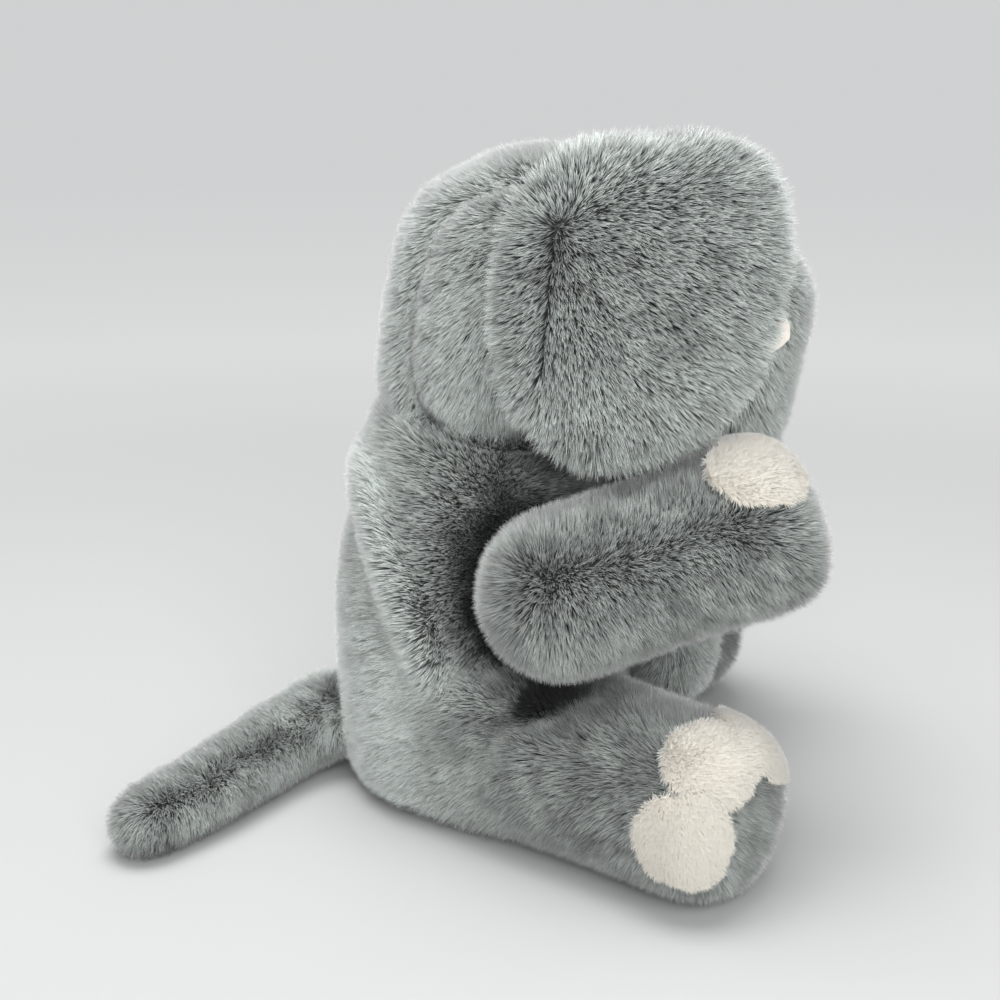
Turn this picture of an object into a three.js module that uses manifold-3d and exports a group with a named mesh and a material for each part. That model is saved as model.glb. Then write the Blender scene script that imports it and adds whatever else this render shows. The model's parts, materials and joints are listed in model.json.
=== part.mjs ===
// Elephant hand puppet: a sitting plush animal with an open seat for the hand and a pocket for two fingers.
// It faces -Y and sits on z = 0. The origin is the centre of the hand opening. Its right side is at -X.
import * as THREE from "three";
import { mergeVertices } from "three/addons/utils/BufferGeometryUtils.js";
import Module from "manifold-3d";

const wasm = await Module();
wasm.setup();

// Driving dimensions, in millimetres and degrees. Outer sizes are taken half way up the pile.
const SEAM_GAP = 0.4; // between panels that are sewn edge to edge
const LAYER_GAP = 0.3; // between layers that lie face to face
const SOCKET_GAP = 0.5; // between a limb's round root and the hollow that it turns in
const SKIN = 6; // plush: backing and pressed pile
const LINING = 1.5; // woven lining

const TORSO_HEIGHT = 148;
const TORSO_HALF_WIDTH = 68;
const TORSO_HALF_DEPTH = 57;
const SIDE_SEAM_BACK = 18; // side seam behind the middle of the torso
const SIDE_SEAM_LEAN = 11; // backwards towards the neck

const OPENING_HALF_WIDTH = 36;
const OPENING_HALF_DEPTH = 30;
const HEM_WALL = 3;
const HEM_LIFT = 0.8; // hem above the seat plane
const HAND_HALF_WIDTH = 38;
const HAND_HALF_DEPTH = 32;
const HAND_CROWN = 14; // lining, filling and skin over the hand, below the neck seam
const NECK_RADIUS = 18;
const POCKET_DEPTH = 58;

const HEAD_HEIGHT = 106;
const HEAD_HALF_WIDTH = 59;
const HEAD_HALF_DEPTH = 63;
const HEAD_FORWARD = 27;
const GUSSET_HALF_WIDTH = 15;

const EYE_RADIUS = 6.5;
const EYE_HEIGHT = 78; // above the neck seam
const EYE_TURN = 40; // from straight ahead
const EYE_SINK = 2;
const SHANK_RADIUS = 2;
const WASHER_RADIUS = 6.5;
const WASHER_THICKNESS = 1.6;
const SHANK_TAIL = 1.5; // shank past its washer

const EAR_LENGTH = 117;
const EAR_WIDTH = 103;
const EAR_THICKNESS = 18;
const EAR_CURL = 9; // how far the front edge turns in
const EAR_FORWARD = 7; // hinge line ahead of the hand opening
const EAR_OVER_ARM = 13.5; // lowest point above the shoulder
const EAR_LINING_SHARE = 0.4; // lining side's share of the thickness

const TRUNK_ROOT_RADIUS = 25;
const TRUNK_TIP_RADIUS = 17;
const TRUNK_HEIGHT = 50; // root centre above the neck seam
const TRUNK_NEST = 14; // how deep the root sits in the face
const TRUNK_DROP = 148;
const TRUNK_OFF_CHEST = 2; // between the tip and the fullest part of the chest

const ARM_RADIUS = 29;
const ARM_PAW_RADIUS = 30;
const ARM_LENGTH = 75; // shoulder centre to paw centre
const ARM_OVER_THIGH = 3;
const ARM_SEAT_TURN = 64; // shoulder round the torso, from straight ahead
const ARM_NEST = 6;
const ARM_RISE = 20;
const ARM_SPLAY = -4;

const HIP_RADIUS = 34;
const FOOT_RADIUS = 31;
const LEG_LENGTH = 73; // hip centre to foot centre
const LEG_SEAT_TURN = 60;
const LEG_NEST = 35;
const LEG_SPLAY = 37;
const FLOOR_PRESS = 0.5; // how far a round piece is flattened where it lies

const PAW_END_DEPTH = 17;
const SOLE_DEPTH = 9;
const TOENAIL_PROUD = 2.8;
const ARM_TOENAIL_WIDTH = 30;
const LEG_TOENAIL_WIDTH = 31;
const TOENAIL_LENGTH = 34;
const TOENAIL_FORWARD = 12; // nail ahead of the paw centre, so that it wraps the rim
const TOENAIL_REACH = 0.45; // how far it reaches over the sole, as a share of the paw radius
const TOENAIL_STEP = 60; // between nails round the paw
const ARM_TOENAIL_TURN = -31; // middle nail from the top, outwards
const LEG_TOENAIL_TURN = 28;

const TAIL_ROOT_RADIUS = 17;
const TAIL_TIP_RADIUS = 13;
const TAIL_HEIGHT = 22;
const TAIL_NEST = 9;
const TAIL_LENGTH = 103;
const TAIL_BEND = 58; // tip swept to the right of straight back

const SEED_HOLE = 0.6; // root opening of a stuffed skin, as a share of its root radius

// Facets.
const BODY_SIDES = 20;
const LIMB_SIDES = 12;
const SOCKET_SIDES = 16;
const ROOT_SIDES = 32;
const SMALL_SIDES = 12;
const NAIL_SIDES = 8;
const BODY_ROWS = 7;
const HAND_ROWS = 4;
const LIMB_ROWS = 4;
const CAP_ROWS = 3;
const REACH = 400; // longer than the puppet, for cutting tools

const SIDES = { left: 1, right: -1 };

const puppet = new THREE.Group();

const greyPlush = new THREE.MeshStandardMaterial({ color: 0x87908c, roughness: 0.95, metalness: 0 });
const creamPlush = new THREE.MeshStandardMaterial({ color: 0xe4ddcd, roughness: 0.95, metalness: 0 });
const liningCloth = new THREE.MeshStandardMaterial({ color: 0x8d9394, roughness: 0.85, metalness: 0 });
const fibreFill = new THREE.MeshStandardMaterial({ color: 0xf1f0ec, roughness: 1, metalness: 0 });
const blackPlastic = new THREE.MeshStandardMaterial({ color: 0x0d0c0b, roughness: 0.12, metalness: 0 });
const washerPlastic = new THREE.MeshStandardMaterial({ color: 0xd9d9d4, roughness: 0.5, metalness: 0 });

// A closed geometry as a solid that can be cut.
function solid(geometry) {
  const bare = geometry.clone();
  bare.deleteAttribute("normal");
  bare.deleteAttribute("uv");
  const merged = mergeVertices(bare, 1e-4);
  const vertProperties = new Float32Array(merged.getAttribute("position").array);
  const triVerts = new Uint32Array(merged.getIndex().array);
  return new wasm.Manifold(new wasm.Mesh({ numProp: 3, vertProperties, triVerts }));
}

function addPiece(name, shape, material) {
  const { vertProperties, triVerts } = shape.getMesh();
  const geometry = new THREE.BufferGeometry();
  geometry.setAttribute("position", new THREE.BufferAttribute(vertProperties, 3));
  geometry.setIndex(new THREE.BufferAttribute(triVerts, 1));
  geometry.computeVertexNormals();
  const mesh = new THREE.Mesh(geometry, material);
  mesh.name = name;
  puppet.add(mesh);
}

const radians = THREE.MathUtils.degToRad;

// A point from its distance out to one side, forwards of the origin and up from the seat.
function place(side, outward, forward, up) {
  return new THREE.Vector3(side * outward, -forward, up);
}

// A smooth value through given stops between 0 and 1.
function smooth(stops, values) {
  const curve = new THREE.CubicInterpolant(stops, values, 1);
  return (share) => curve.evaluate(share)[0];
}

// A closed skin over a row of rings, with a pole at each end.
function wrap(firstPole, rings, lastPole) {
  const count = rings[0].length;
  const points = [firstPole, ...rings.flat(), lastPole];
  const last = points.length - 1;
  const end = 1 + (rings.length - 1) * count;
  const index = [];
  for (let side = 0; side < count; side++) {
    const next = (side + 1) % count;
    index.push(0, 1 + next, 1 + side);
    for (let here = 1; here < end; here += count) {
      const there = here + count;
      index.push(here + side, here + next, there + next);
      index.push(here + side, there + next, there + side);
    }
    index.push(last, end + side, end + next);
  }
  const geometry = new THREE.BufferGeometry().setFromPoints(points);
  geometry.setIndex(index);
  return solid(geometry);
}

// A level oval ring.
function oval(halfWidth, halfDepth, forward, up) {
  const ring = [];
  for (let side = 0; side < BODY_SIDES; side++) {
    const angle = (side / BODY_SIDES) * 2 * Math.PI;
    ring.push(new THREE.Vector3(halfWidth * Math.cos(angle), halfDepth * Math.sin(angle) - forward, up));
  }
  return ring;
}

// An upright oval cylinder round the origin's axis.
function ovalPost(halfWidth, halfDepth, bottom, top) {
  const rings = [oval(halfWidth, halfDepth, 0, bottom), oval(halfWidth, halfDepth, 0, top)];
  return wrap(place(0, 0, 0, bottom), rings, place(0, 0, 0, top));
}

// A straight round rod between two points.
function rod(from, to, radius) {
  const along = to.clone().sub(from);
  const geometry = new THREE.CylinderGeometry(radius, radius, along.length(), SMALL_SIDES);
  geometry.applyQuaternion(turnTo(new THREE.Vector3(0, 1, 0), along));
  const middle = from.clone().add(to).multiplyScalar(0.5);
  return solid(geometry.translate(...middle));
}

// The radius of a faceted hole that clears a round piece all the way round.
function roomFor(radius) {
  return (radius + LAYER_GAP) / Math.cos(Math.PI / SMALL_SIDES);
}

function turnTo(from, to) {
  return new THREE.Quaternion().setFromUnitVectors(from, to.clone().normalize());
}

// Everything on one side of a plane, as far as the puppet reaches.
function halfSpace(point, normal) {
  const geometry = new THREE.BoxGeometry(REACH * 2, REACH * 2, REACH);
  geometry.translate(0, 0, REACH / 2);
  geometry.applyQuaternion(turnTo(new THREE.Vector3(0, 0, 1), normal));
  return solid(geometry.translate(...point));
}

function ball(centre, radius, sides) {
  return solid(new THREE.SphereGeometry(radius, sides, sides / 2).translate(...centre));
}

// A ball whose facets all lie outside a radius.
function ballAround(centre, radius, sides) {
  return ball(centre, radius / Math.cos(Math.PI / sides) ** 2, sides);
}

// A limb's round root, and the hollow that it turns in.
function rootBall(centre, radius) {
  return ballAround(centre, radius, ROOT_SIDES);
}

function socket(centre, radius) {
  return ballAround(centre, radius + SOCKET_GAP, SOCKET_SIDES);
}

const aboveFloor = halfSpace(place(0, 0, 0, 0), new THREE.Vector3(0, 0, 1));

// Torso: a pear that is fullest at the hips.
const torsoSwell = smooth([0, 0.14, 0.34, 0.62, 0.84, 1], [0.92, 0.99, 1, 0.92, 0.79, 0.66]);

function torsoForm(grow) {
  const rings = [];
  for (let row = 0; row <= BODY_ROWS; row++) {
    const share = row / BODY_ROWS;
    const halfWidth = TORSO_HALF_WIDTH * torsoSwell(share) + grow;
    const halfDepth = TORSO_HALF_DEPTH * torsoSwell(share) + grow;
    rings.push(oval(halfWidth, halfDepth, 0, share * (TORSO_HEIGHT + 2 * grow) - grow));
  }
  return wrap(place(0, 0, 0, -grow), rings, place(0, 0, 0, TORSO_HEIGHT + grow));
}

// A point of the torso's surface and its level outward direction, at a height and a turn from straight ahead.
function torsoSeat(height, turn) {
  const swell = torsoSwell(height / TORSO_HEIGHT);
  const halfWidth = TORSO_HALF_WIDTH * swell;
  const halfDepth = TORSO_HALF_DEPTH * swell;
  const sine = Math.sin(radians(turn));
  const cosine = Math.cos(radians(turn));
  const outward = new THREE.Vector2(sine / halfWidth, cosine / halfDepth).normalize();
  return { point: new THREE.Vector2(halfWidth * sine, halfDepth * cosine), outward };
}

// The centre of a limb's round root, sunk by its nest into the torso.
function rootCentre(side, height, turn, radius, nest) {
  const { point, outward } = torsoSeat(height, turn);
  point.addScaledVector(outward, radius - nest);
  return place(side, point.x, point.y, height);
}

// A stuffed tube: a round root, a swelling run along its spine and a blunt end.
function tubeForm({ spine, radius, endDepth, bluntness, across }, grow) {
  const rings = [];
  const addRing = (centre, forwards, size) => {
    const up = forwards.clone().cross(across).normalize();
    const right = up.clone().cross(forwards).normalize();
    const ring = [];
    for (let side = 0; side < LIMB_SIDES; side++) {
      const angle = (side / LIMB_SIDES) * 2 * Math.PI;
      const point = centre.clone().addScaledVector(right, size * Math.cos(angle));
      ring.push(point.addScaledVector(up, size * Math.sin(angle)));
    }
    rings.push(ring);
  };
  const start = spine.getPointAt(0);
  const startWay = spine.getTangentAt(0);
  const end = spine.getPointAt(1);
  const endWay = spine.getTangentAt(1);
  const startRadius = radius(0) + grow;
  const endRadius = radius(1) + grow;
  for (let row = 1; row < CAP_ROWS; row++) {
    const angle = (row / CAP_ROWS) * (Math.PI / 2);
    const centre = start.clone().addScaledVector(startWay, -startRadius * Math.cos(angle));
    addRing(centre, startWay, startRadius * Math.sin(angle));
  }
  for (let row = 0; row <= LIMB_ROWS; row++) {
    const share = row / LIMB_ROWS;
    addRing(spine.getPointAt(share), spine.getTangentAt(share), radius(share) + grow);
  }
  for (let row = CAP_ROWS - 1; row > 0; row--) {
    const angle = (row / CAP_ROWS) * (Math.PI / 2);
    const depth = (endDepth + grow) * Math.cos(angle) ** (2 / bluntness);
    addRing(end.clone().addScaledVector(endWay, depth), endWay, endRadius * Math.sin(angle) ** (2 / bluntness));
  }
  const firstPole = start.clone().addScaledVector(startWay, -startRadius);
  const lastPole = end.clone().addScaledVector(endWay, endDepth + grow);
  return wrap(firstPole, rings, lastPole);
}

// Skin and stuffing of a tube whose skin is open at the root, where it is filled and sewn on.
function skinAndFill(form, cut, rootHole) {
  const outer = cut(tubeForm(form, 0));
  const skin = outer.subtract(tubeForm(form, -SKIN)).subtract(rootHole);
  const fill = cut(tubeForm(form, -SKIN - LAYER_GAP)).subtract(rootHole);
  return { skin, fill };
}

const armHeight = 2 * HIP_RADIUS - FLOOR_PRESS + ARM_OVER_THIGH + ARM_RADIUS;
const shoulderCentres = {};
const hipCentres = {};
for (const [name, side] of Object.entries(SIDES)) {
  shoulderCentres[name] = rootCentre(side, armHeight, ARM_SEAT_TURN, ARM_RADIUS, ARM_NEST);
  hipCentres[name] = rootCentre(side, HIP_RADIUS - FLOOR_PRESS, LEG_SEAT_TURN, HIP_RADIUS, LEG_NEST);
}
const tailRoot = rootCentre(1, TAIL_HEIGHT, 180, TAIL_ROOT_RADIUS, TAIL_NEST);

// The torso keeps a round hollow for the root of each arm and of the tail. The thighs lie against its sides.
function withHollows(shape, hollow) {
  let result = shape.subtract(hollow(tailRoot, TAIL_ROOT_RADIUS));
  for (const centre of Object.values(shoulderCentres)) {
    result = result.subtract(hollow(centre, ARM_RADIUS));
  }
  return result;
}

const torsoClear = withHollows(torsoForm(LAYER_GAP), rootBall);

const handTop = TORSO_HEIGHT - HAND_CROWN;

function handForm(grow) {
  const taper = smooth([0, 0.5, 0.8, 1], [1, 0.98, 0.9, 0.8]);
  const bottom = SKIN + LAYER_GAP;
  const rings = [];
  for (let row = 0; row <= HAND_ROWS; row++) {
    const share = row / HAND_ROWS;
    const up = bottom - grow + share * (handTop - bottom + 2 * grow);
    rings.push(oval(HAND_HALF_WIDTH * taper(share) + grow, HAND_HALF_DEPTH * taper(share) + grow, 0, up));
  }
  return wrap(place(0, 0, 0, bottom - grow), rings, place(0, 0, 0, handTop + grow));
}

function makeTorso() {
  const opening = ovalPost(OPENING_HALF_WIDTH, OPENING_HALF_DEPTH, -REACH, handTop / 2);
  const neck = ovalPost(NECK_RADIUS, NECK_RADIUS, handTop / 2, REACH);
  const skin = withHollows(torsoForm(0), socket).subtract(torsoForm(-SKIN)).subtract(opening).subtract(neck);
  const lean = new THREE.Vector3(0, -Math.cos(radians(SIDE_SEAM_LEAN)), Math.sin(radians(SIDE_SEAM_LEAN)));
  const frontEdge = place(0, 0, -SIDE_SEAM_BACK, TORSO_HEIGHT / 2);
  const backEdge = frontEdge.clone().addScaledVector(lean, -SEAM_GAP);
  addPiece("torso_front_panel", skin.intersect(halfSpace(frontEdge, lean)), greyPlush);
  addPiece("torso_back_panel", skin.intersect(halfSpace(backEdge, lean.clone().negate())), greyPlush);

  const inside = withHollows(torsoForm(-SKIN - LAYER_GAP), socket);
  const fill = inside.subtract(handForm(LAYER_GAP)).subtract(neck);
  addPiece("torso_stuffing", fill, fibreFill);

  const lining = handForm(0).subtract(handForm(-LINING)).subtract(opening).subtract(neck);
  addPiece("hand_lining", lining, liningCloth);

  const hemTop = SKIN + LAYER_GAP + LINING;
  const hemWidth = OPENING_HALF_WIDTH - LAYER_GAP;
  const hemDepth = OPENING_HALF_DEPTH - LAYER_GAP;
  const hemHole = ovalPost(hemWidth - HEM_WALL, hemDepth - HEM_WALL, -REACH, REACH);
  addPiece("opening_hem", ovalPost(hemWidth, hemDepth, HEM_LIFT, hemTop).subtract(hemHole), liningCloth);
}

// Head: a round skull on the neck seam that leans forwards over the chest.
const headBase = TORSO_HEIGHT + LAYER_GAP;
const headSwell = smooth([0, 0.12, 0.3, 0.52, 0.72, 0.87, 0.97], [0.64, 0.82, 0.96, 1, 0.92, 0.71, 0.34]);
const headLean = smooth([0, 0.2, 0.5, 1], [0.08, 0.6, 1, 0.95]);
const HEAD_LAST_RING = 0.97;

function headForm(grow) {
  const rings = [];
  for (let row = 0; row <= BODY_ROWS; row++) {
    const share = (row / BODY_ROWS) * HEAD_LAST_RING;
    const halfWidth = HEAD_HALF_WIDTH * headSwell(share) + grow;
    const halfDepth = HEAD_HALF_DEPTH * headSwell(share) + grow;
    const up = headBase - grow + share * (HEAD_HEIGHT + 2 * grow);
    rings.push(oval(halfWidth, halfDepth, HEAD_FORWARD * headLean(share), up));
  }
  const top = headBase + HEAD_HEIGHT + grow;
  const bottom = place(0, 0, HEAD_FORWARD * headLean(0), headBase - grow);
  return wrap(bottom, rings, place(0, 0, HEAD_FORWARD * headLean(1), top));
}

// A point of the head's surface at a height above the neck seam and a turn from straight ahead.
function headPoint(side, height, turn) {
  const share = height / HEAD_HEIGHT;
  const outward = HEAD_HALF_WIDTH * headSwell(share) * Math.sin(radians(turn));
  const ahead = HEAD_HALF_DEPTH * headSwell(share) * Math.cos(radians(turn));
  return place(side, outward, HEAD_FORWARD * headLean(share) + ahead, headBase + height);
}

// That point with its outward direction, square to the surface.
function headSeat(side, height, turn) {
  const round = headPoint(side, height, turn + 1).sub(headPoint(side, height, turn - 1));
  const upwards = headPoint(side, height + 1, turn).sub(headPoint(side, height - 1, turn));
  const outward = round.cross(upwards).multiplyScalar(side).normalize();
  return { point: headPoint(side, height, turn), outward };
}

const trunkSeat = headSeat(1, TRUNK_HEIGHT, 0);
const trunkRoot = trunkSeat.point.clone().addScaledVector(trunkSeat.outward, TRUNK_ROOT_RADIUS - TRUNK_NEST);
const trunkSocket = socket(trunkRoot, TRUNK_ROOT_RADIUS);

// An eye's places along its axis, from the dome's base inwards.
function eyePlaces(side) {
  const { point, outward } = headSeat(side, EYE_HEIGHT, EYE_TURN);
  const inward = (depth) => point.clone().addScaledVector(outward, -depth);
  const washerTop = SKIN + SKIN / 4;
  return {
    base: inward(EYE_SINK),
    recess: inward(EYE_SINK + LAYER_GAP),
    above: inward(-EYE_RADIUS * 2),
    washerSeat: inward(washerTop - LAYER_GAP),
    washerTop: inward(washerTop),
    washerEnd: inward(washerTop + WASHER_THICKNESS),
    shankEnd: inward(washerTop + WASHER_THICKNESS + SHANK_TAIL),
    outward,
  };
}

// Cuts the seats of the eyes: a shallow recess for the dome, a hole for the shank and a flat for the washer.
function withEyeSeats(shape) {
  let result = shape;
  for (const side of Object.values(SIDES)) {
    const eye = eyePlaces(side);
    result = result.subtract(rod(eye.recess, eye.above, roomFor(EYE_RADIUS)));
    result = result.subtract(rod(eye.shankEnd, eye.above, roomFor(SHANK_RADIUS)));
    result = result.subtract(rod(eye.shankEnd, eye.washerSeat, roomFor(WASHER_RADIUS)));
  }
  return result;
}

function makeHead() {
  const neck = ovalPost(NECK_RADIUS, NECK_RADIUS, 0, headBase + POCKET_DEPTH);
  const outer = headForm(0).subtract(trunkSocket);
  const skin = withEyeSeats(outer.subtract(headForm(-SKIN)).subtract(neck));
  const right = new THREE.Vector3(1, 0, 0);
  const left = right.clone().negate();
  const gussetEdge = place(1, GUSSET_HALF_WIDTH, 0, 0);
  const sideEdge = place(1, GUSSET_HALF_WIDTH + SEAM_GAP, 0, 0);
  const gusset = skin
    .intersect(halfSpace(gussetEdge, left))
    .intersect(halfSpace(gussetEdge.clone().negate(), right));
  const forwards = new THREE.Vector3(0, -1, 0);
  const down = new THREE.Vector3(0, 0, -1);
  const chinZone = halfSpace(trunkRoot, down).intersect(halfSpace(place(0, 0, 0, 0), forwards));
  const besideChin = halfSpace(trunkRoot.clone().addScaledVector(down, -SEAM_GAP), down)
    .intersect(halfSpace(place(0, 0, -SEAM_GAP, 0), forwards));
  addPiece("head_gusset", gusset.subtract(besideChin), greyPlush);
  addPiece("chin_panel", gusset.intersect(chinZone), greyPlush);
  addPiece("head_side_left", skin.intersect(halfSpace(sideEdge, right)), greyPlush);
  addPiece("head_side_right", skin.intersect(halfSpace(sideEdge.clone().negate(), left)), greyPlush);

  let fill = headForm(-SKIN - LAYER_GAP).subtract(trunkSocket).subtract(neck);
  for (const side of Object.values(SIDES)) {
    const eye = eyePlaces(side);
    const pocketEnd = eye.shankEnd.clone().addScaledVector(eye.outward, -LAYER_GAP);
    fill = fill.subtract(rod(pocketEnd, eye.above, roomFor(WASHER_RADIUS)));
  }
  addPiece("head_stuffing", fill, fibreFill);

  const pocketOuter = NECK_RADIUS - LAYER_GAP;
  const pocketTop = headBase + POCKET_DEPTH - LAYER_GAP;
  const pocketHole = ovalPost(pocketOuter - LINING, pocketOuter - LINING, -REACH, pocketTop - LINING);
  const pocket = ovalPost(pocketOuter, pocketOuter, headBase, pocketTop).subtract(pocketHole);
  addPiece("finger_pocket", pocket, liningCloth);
}

function makeEye(name, side) {
  const eye = eyePlaces(side);
  const dome = ball(eye.base, EYE_RADIUS, SMALL_SIDES).intersect(halfSpace(eye.base, eye.outward));
  const insideDome = eye.base.clone().addScaledVector(eye.outward, EYE_RADIUS / 2);
  addPiece(`eye_${name}`, dome.add(rod(eye.shankEnd, insideDome, SHANK_RADIUS)), blackPlastic);
  const disc = rod(eye.washerTop, eye.washerEnd, WASHER_RADIUS);
  const hole = rod(eye.shankEnd, eye.above, roomFor(SHANK_RADIUS));
  addPiece(`eye_washer_${name}`, disc.subtract(hole), washerPlastic);
}

// Ear: a pillow with a rounded outline, widest above its middle, that hangs forwards along the cheek.
const earOutline = new THREE.CatmullRomCurve3(
  [
    [0, 0.45], [0.03, 0.75], [0.17, 0.94], [0.5, 1], [0.85, 0.99], [0.98, 0.84],
    [1, 0.6], [0.93, 0.33], [0.74, 0.1], [0.45, 0], [0.2, 0.05], [0.04, 0.2],
  ].map(([across, up]) => new THREE.Vector3(across, up, 0)),
  true,
);
const EAR_STEPS = 22;
const EAR_RINGS = [1, 0.93, 0.75, 0.42];
const EAR_FLAT_RING = 0.6;
const EAR_MIDDLE = new THREE.Vector3(0.5, 0.52, 0);
const earPlane = HEAD_HALF_WIDTH + LAYER_GAP + EAR_THICKNESS / 2;
const earBottom = armHeight + ARM_RADIUS + EAR_OVER_ARM;

// One half of the pillow; facing is 1 for the outside of the ear and -1 for the side next to the head.
function earHalf(side, facing) {
  const share = facing > 0 ? 1 - EAR_LINING_SHARE : EAR_LINING_SHARE;
  const crown = EAR_THICKNESS * share;
  const seam = EAR_THICKNESS * (EAR_LINING_SHARE - 0.5);
  const earPoint = (outline, size, level) => {
    const spot = EAR_MIDDLE.clone().lerp(outline, size);
    const curl = EAR_CURL * Math.max(spot.x, 0) ** 2;
    const up = earBottom + EAR_LENGTH * spot.y;
    return place(side, earPlane + seam + level - curl, EAR_FORWARD + EAR_WIDTH * spot.x, up);
  };
  const flat = (facing * LAYER_GAP) / 2;
  const outline = earOutline.getSpacedPoints(EAR_STEPS).slice(0, EAR_STEPS);
  if (side * facing < 0) outline.reverse();
  const rings = [];
  rings.push(outline.map((point) => earPoint(point, EAR_FLAT_RING, flat)));
  for (const size of EAR_RINGS) {
    const swell = (1 - size ** 4) ** 0.5;
    rings.push(outline.map((point) => earPoint(point, size, flat + facing * crown * swell)));
  }
  const topLevel = flat + facing * crown;
  return wrap(earPoint(EAR_MIDDLE, 0, flat), rings, earPoint(EAR_MIDDLE, 0, topLevel));
}

function makeEar(name, side) {
  addPiece(`ear_${name}_outer`, earHalf(side, 1), greyPlush);
  addPiece(`ear_${name}_lining`, earHalf(side, -1).subtract(headForm(LAYER_GAP)), creamPlush);
}

// Trunk: hangs down the chest from the middle of the face.
function makeTrunk() {
  const tipForward = TORSO_HALF_DEPTH + TRUNK_OFF_CHEST + TRUNK_TIP_RADIUS;
  const swingIn = -trunkRoot.y - tipForward;
  const drop = (share, swing) => trunkRoot.clone().add(place(1, 0, -swingIn * swing, -TRUNK_DROP * share));
  const form = {
    spine: new THREE.CatmullRomCurve3([drop(0, 0), drop(0.2, 0.1), drop(0.5, 0.65), drop(0.8, 1), drop(1, 1)]),
    radius: (share) => THREE.MathUtils.lerp(TRUNK_ROOT_RADIUS, TRUNK_TIP_RADIUS, share),
    endDepth: TRUNK_TIP_RADIUS * 0.8,
    bluntness: 2.6,
    across: new THREE.Vector3(1, 0, 0),
  };
  const headClear = headForm(LAYER_GAP).subtract(rootBall(trunkRoot, TRUNK_ROOT_RADIUS));
  const cut = (shape) => shape.subtract(headClear);
  const into = trunkRoot.clone().addScaledVector(trunkSeat.outward, -TRUNK_ROOT_RADIUS * 2);
  const { skin, fill } = skinAndFill(form, cut, rod(into, trunkRoot, TRUNK_ROOT_RADIUS * SEED_HOLE));
  addPiece("trunk_skin", skin, greyPlush);
  addPiece("trunk_stuffing", fill, fibreFill);
}

// Arm or leg: skin, stuffing, sole and three toenails over the rim of the paw.
function makeLimb(name, side, limb) {
  const { root, splay, rise, length, rootRadius, pawRadius, pawHeight, nailWidth, nailTurn } = limb;
  const level = new THREE.Vector3(side * Math.sin(radians(splay)), -Math.cos(radians(splay)), 0);
  const paw = root.clone().addScaledVector(level, length * Math.cos(radians(rise)));
  paw.z = pawHeight;
  const middle = root.clone().lerp(paw, 0.5);
  const across = new THREE.Vector3(0, 0, 1).cross(level).normalize();
  const form = {
    spine: new THREE.CatmullRomCurve3([root, middle, paw]),
    radius: smooth([0, 0.5, 1], [rootRadius, (rootRadius + pawRadius) / 2 - 1, pawRadius]),
    endDepth: PAW_END_DEPTH,
    bluntness: 3,
    across,
  };
  const way = form.spine.getTangentAt(1);
  const soleEdge = paw.clone().addScaledVector(way, PAW_END_DEPTH - SOLE_DEPTH);
  const skinEdge = soleEdge.clone().addScaledVector(way, -SEAM_GAP);
  const clear = (shape) => shape.subtract(torsoClear).intersect(aboveFloor);
  const body = (shape) => clear(shape).intersect(halfSpace(skinEdge, way.clone().negate()));
  const toTorso = place(0, 0, 0, root.z).sub(root).normalize();
  const hole = rod(root, root.clone().addScaledVector(toTorso, rootRadius * 2), rootRadius * SEED_HOLE);
  const { skin, fill } = skinAndFill(form, body, hole);
  addPiece(`${name}_skin`, skin, greyPlush);
  addPiece(`${name}_stuffing`, fill, fibreFill);
  addPiece(`${name}_sole`, clear(tubeForm(form, 0)).intersect(halfSpace(soleEdge, way)), greyPlush);

  const shell = clear(tubeForm(form, TOENAIL_PROUD)).subtract(tubeForm(form, LAYER_GAP));
  const up = way.clone().cross(across).normalize();
  if (up.z < 0) up.negate();
  for (let nail = 0; nail < 3; nail++) {
    const turn = radians(nailTurn + (1 - nail) * TOENAIL_STEP);
    const out = across.clone().multiplyScalar(Math.sign(across.x) * side);
    const radial = up.clone().multiplyScalar(Math.cos(turn)).addScaledVector(out, Math.sin(turn));
    const pad = new THREE.SphereGeometry(1, NAIL_SIDES, NAIL_SIDES / 2);
    pad.scale(nailWidth / 2, TOENAIL_LENGTH / 2, pawRadius * TOENAIL_REACH);
    const axes = new THREE.Matrix4().makeBasis(way.clone().cross(radial), way, radial);
    pad.applyMatrix4(axes);
    pad.translate(...paw.clone().addScaledVector(radial, pawRadius).addScaledVector(way, TOENAIL_FORWARD));
    addPiece(`${name}_toenail_${nail + 1}`, shell.intersect(solid(pad)), creamPlush);
  }
}

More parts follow.
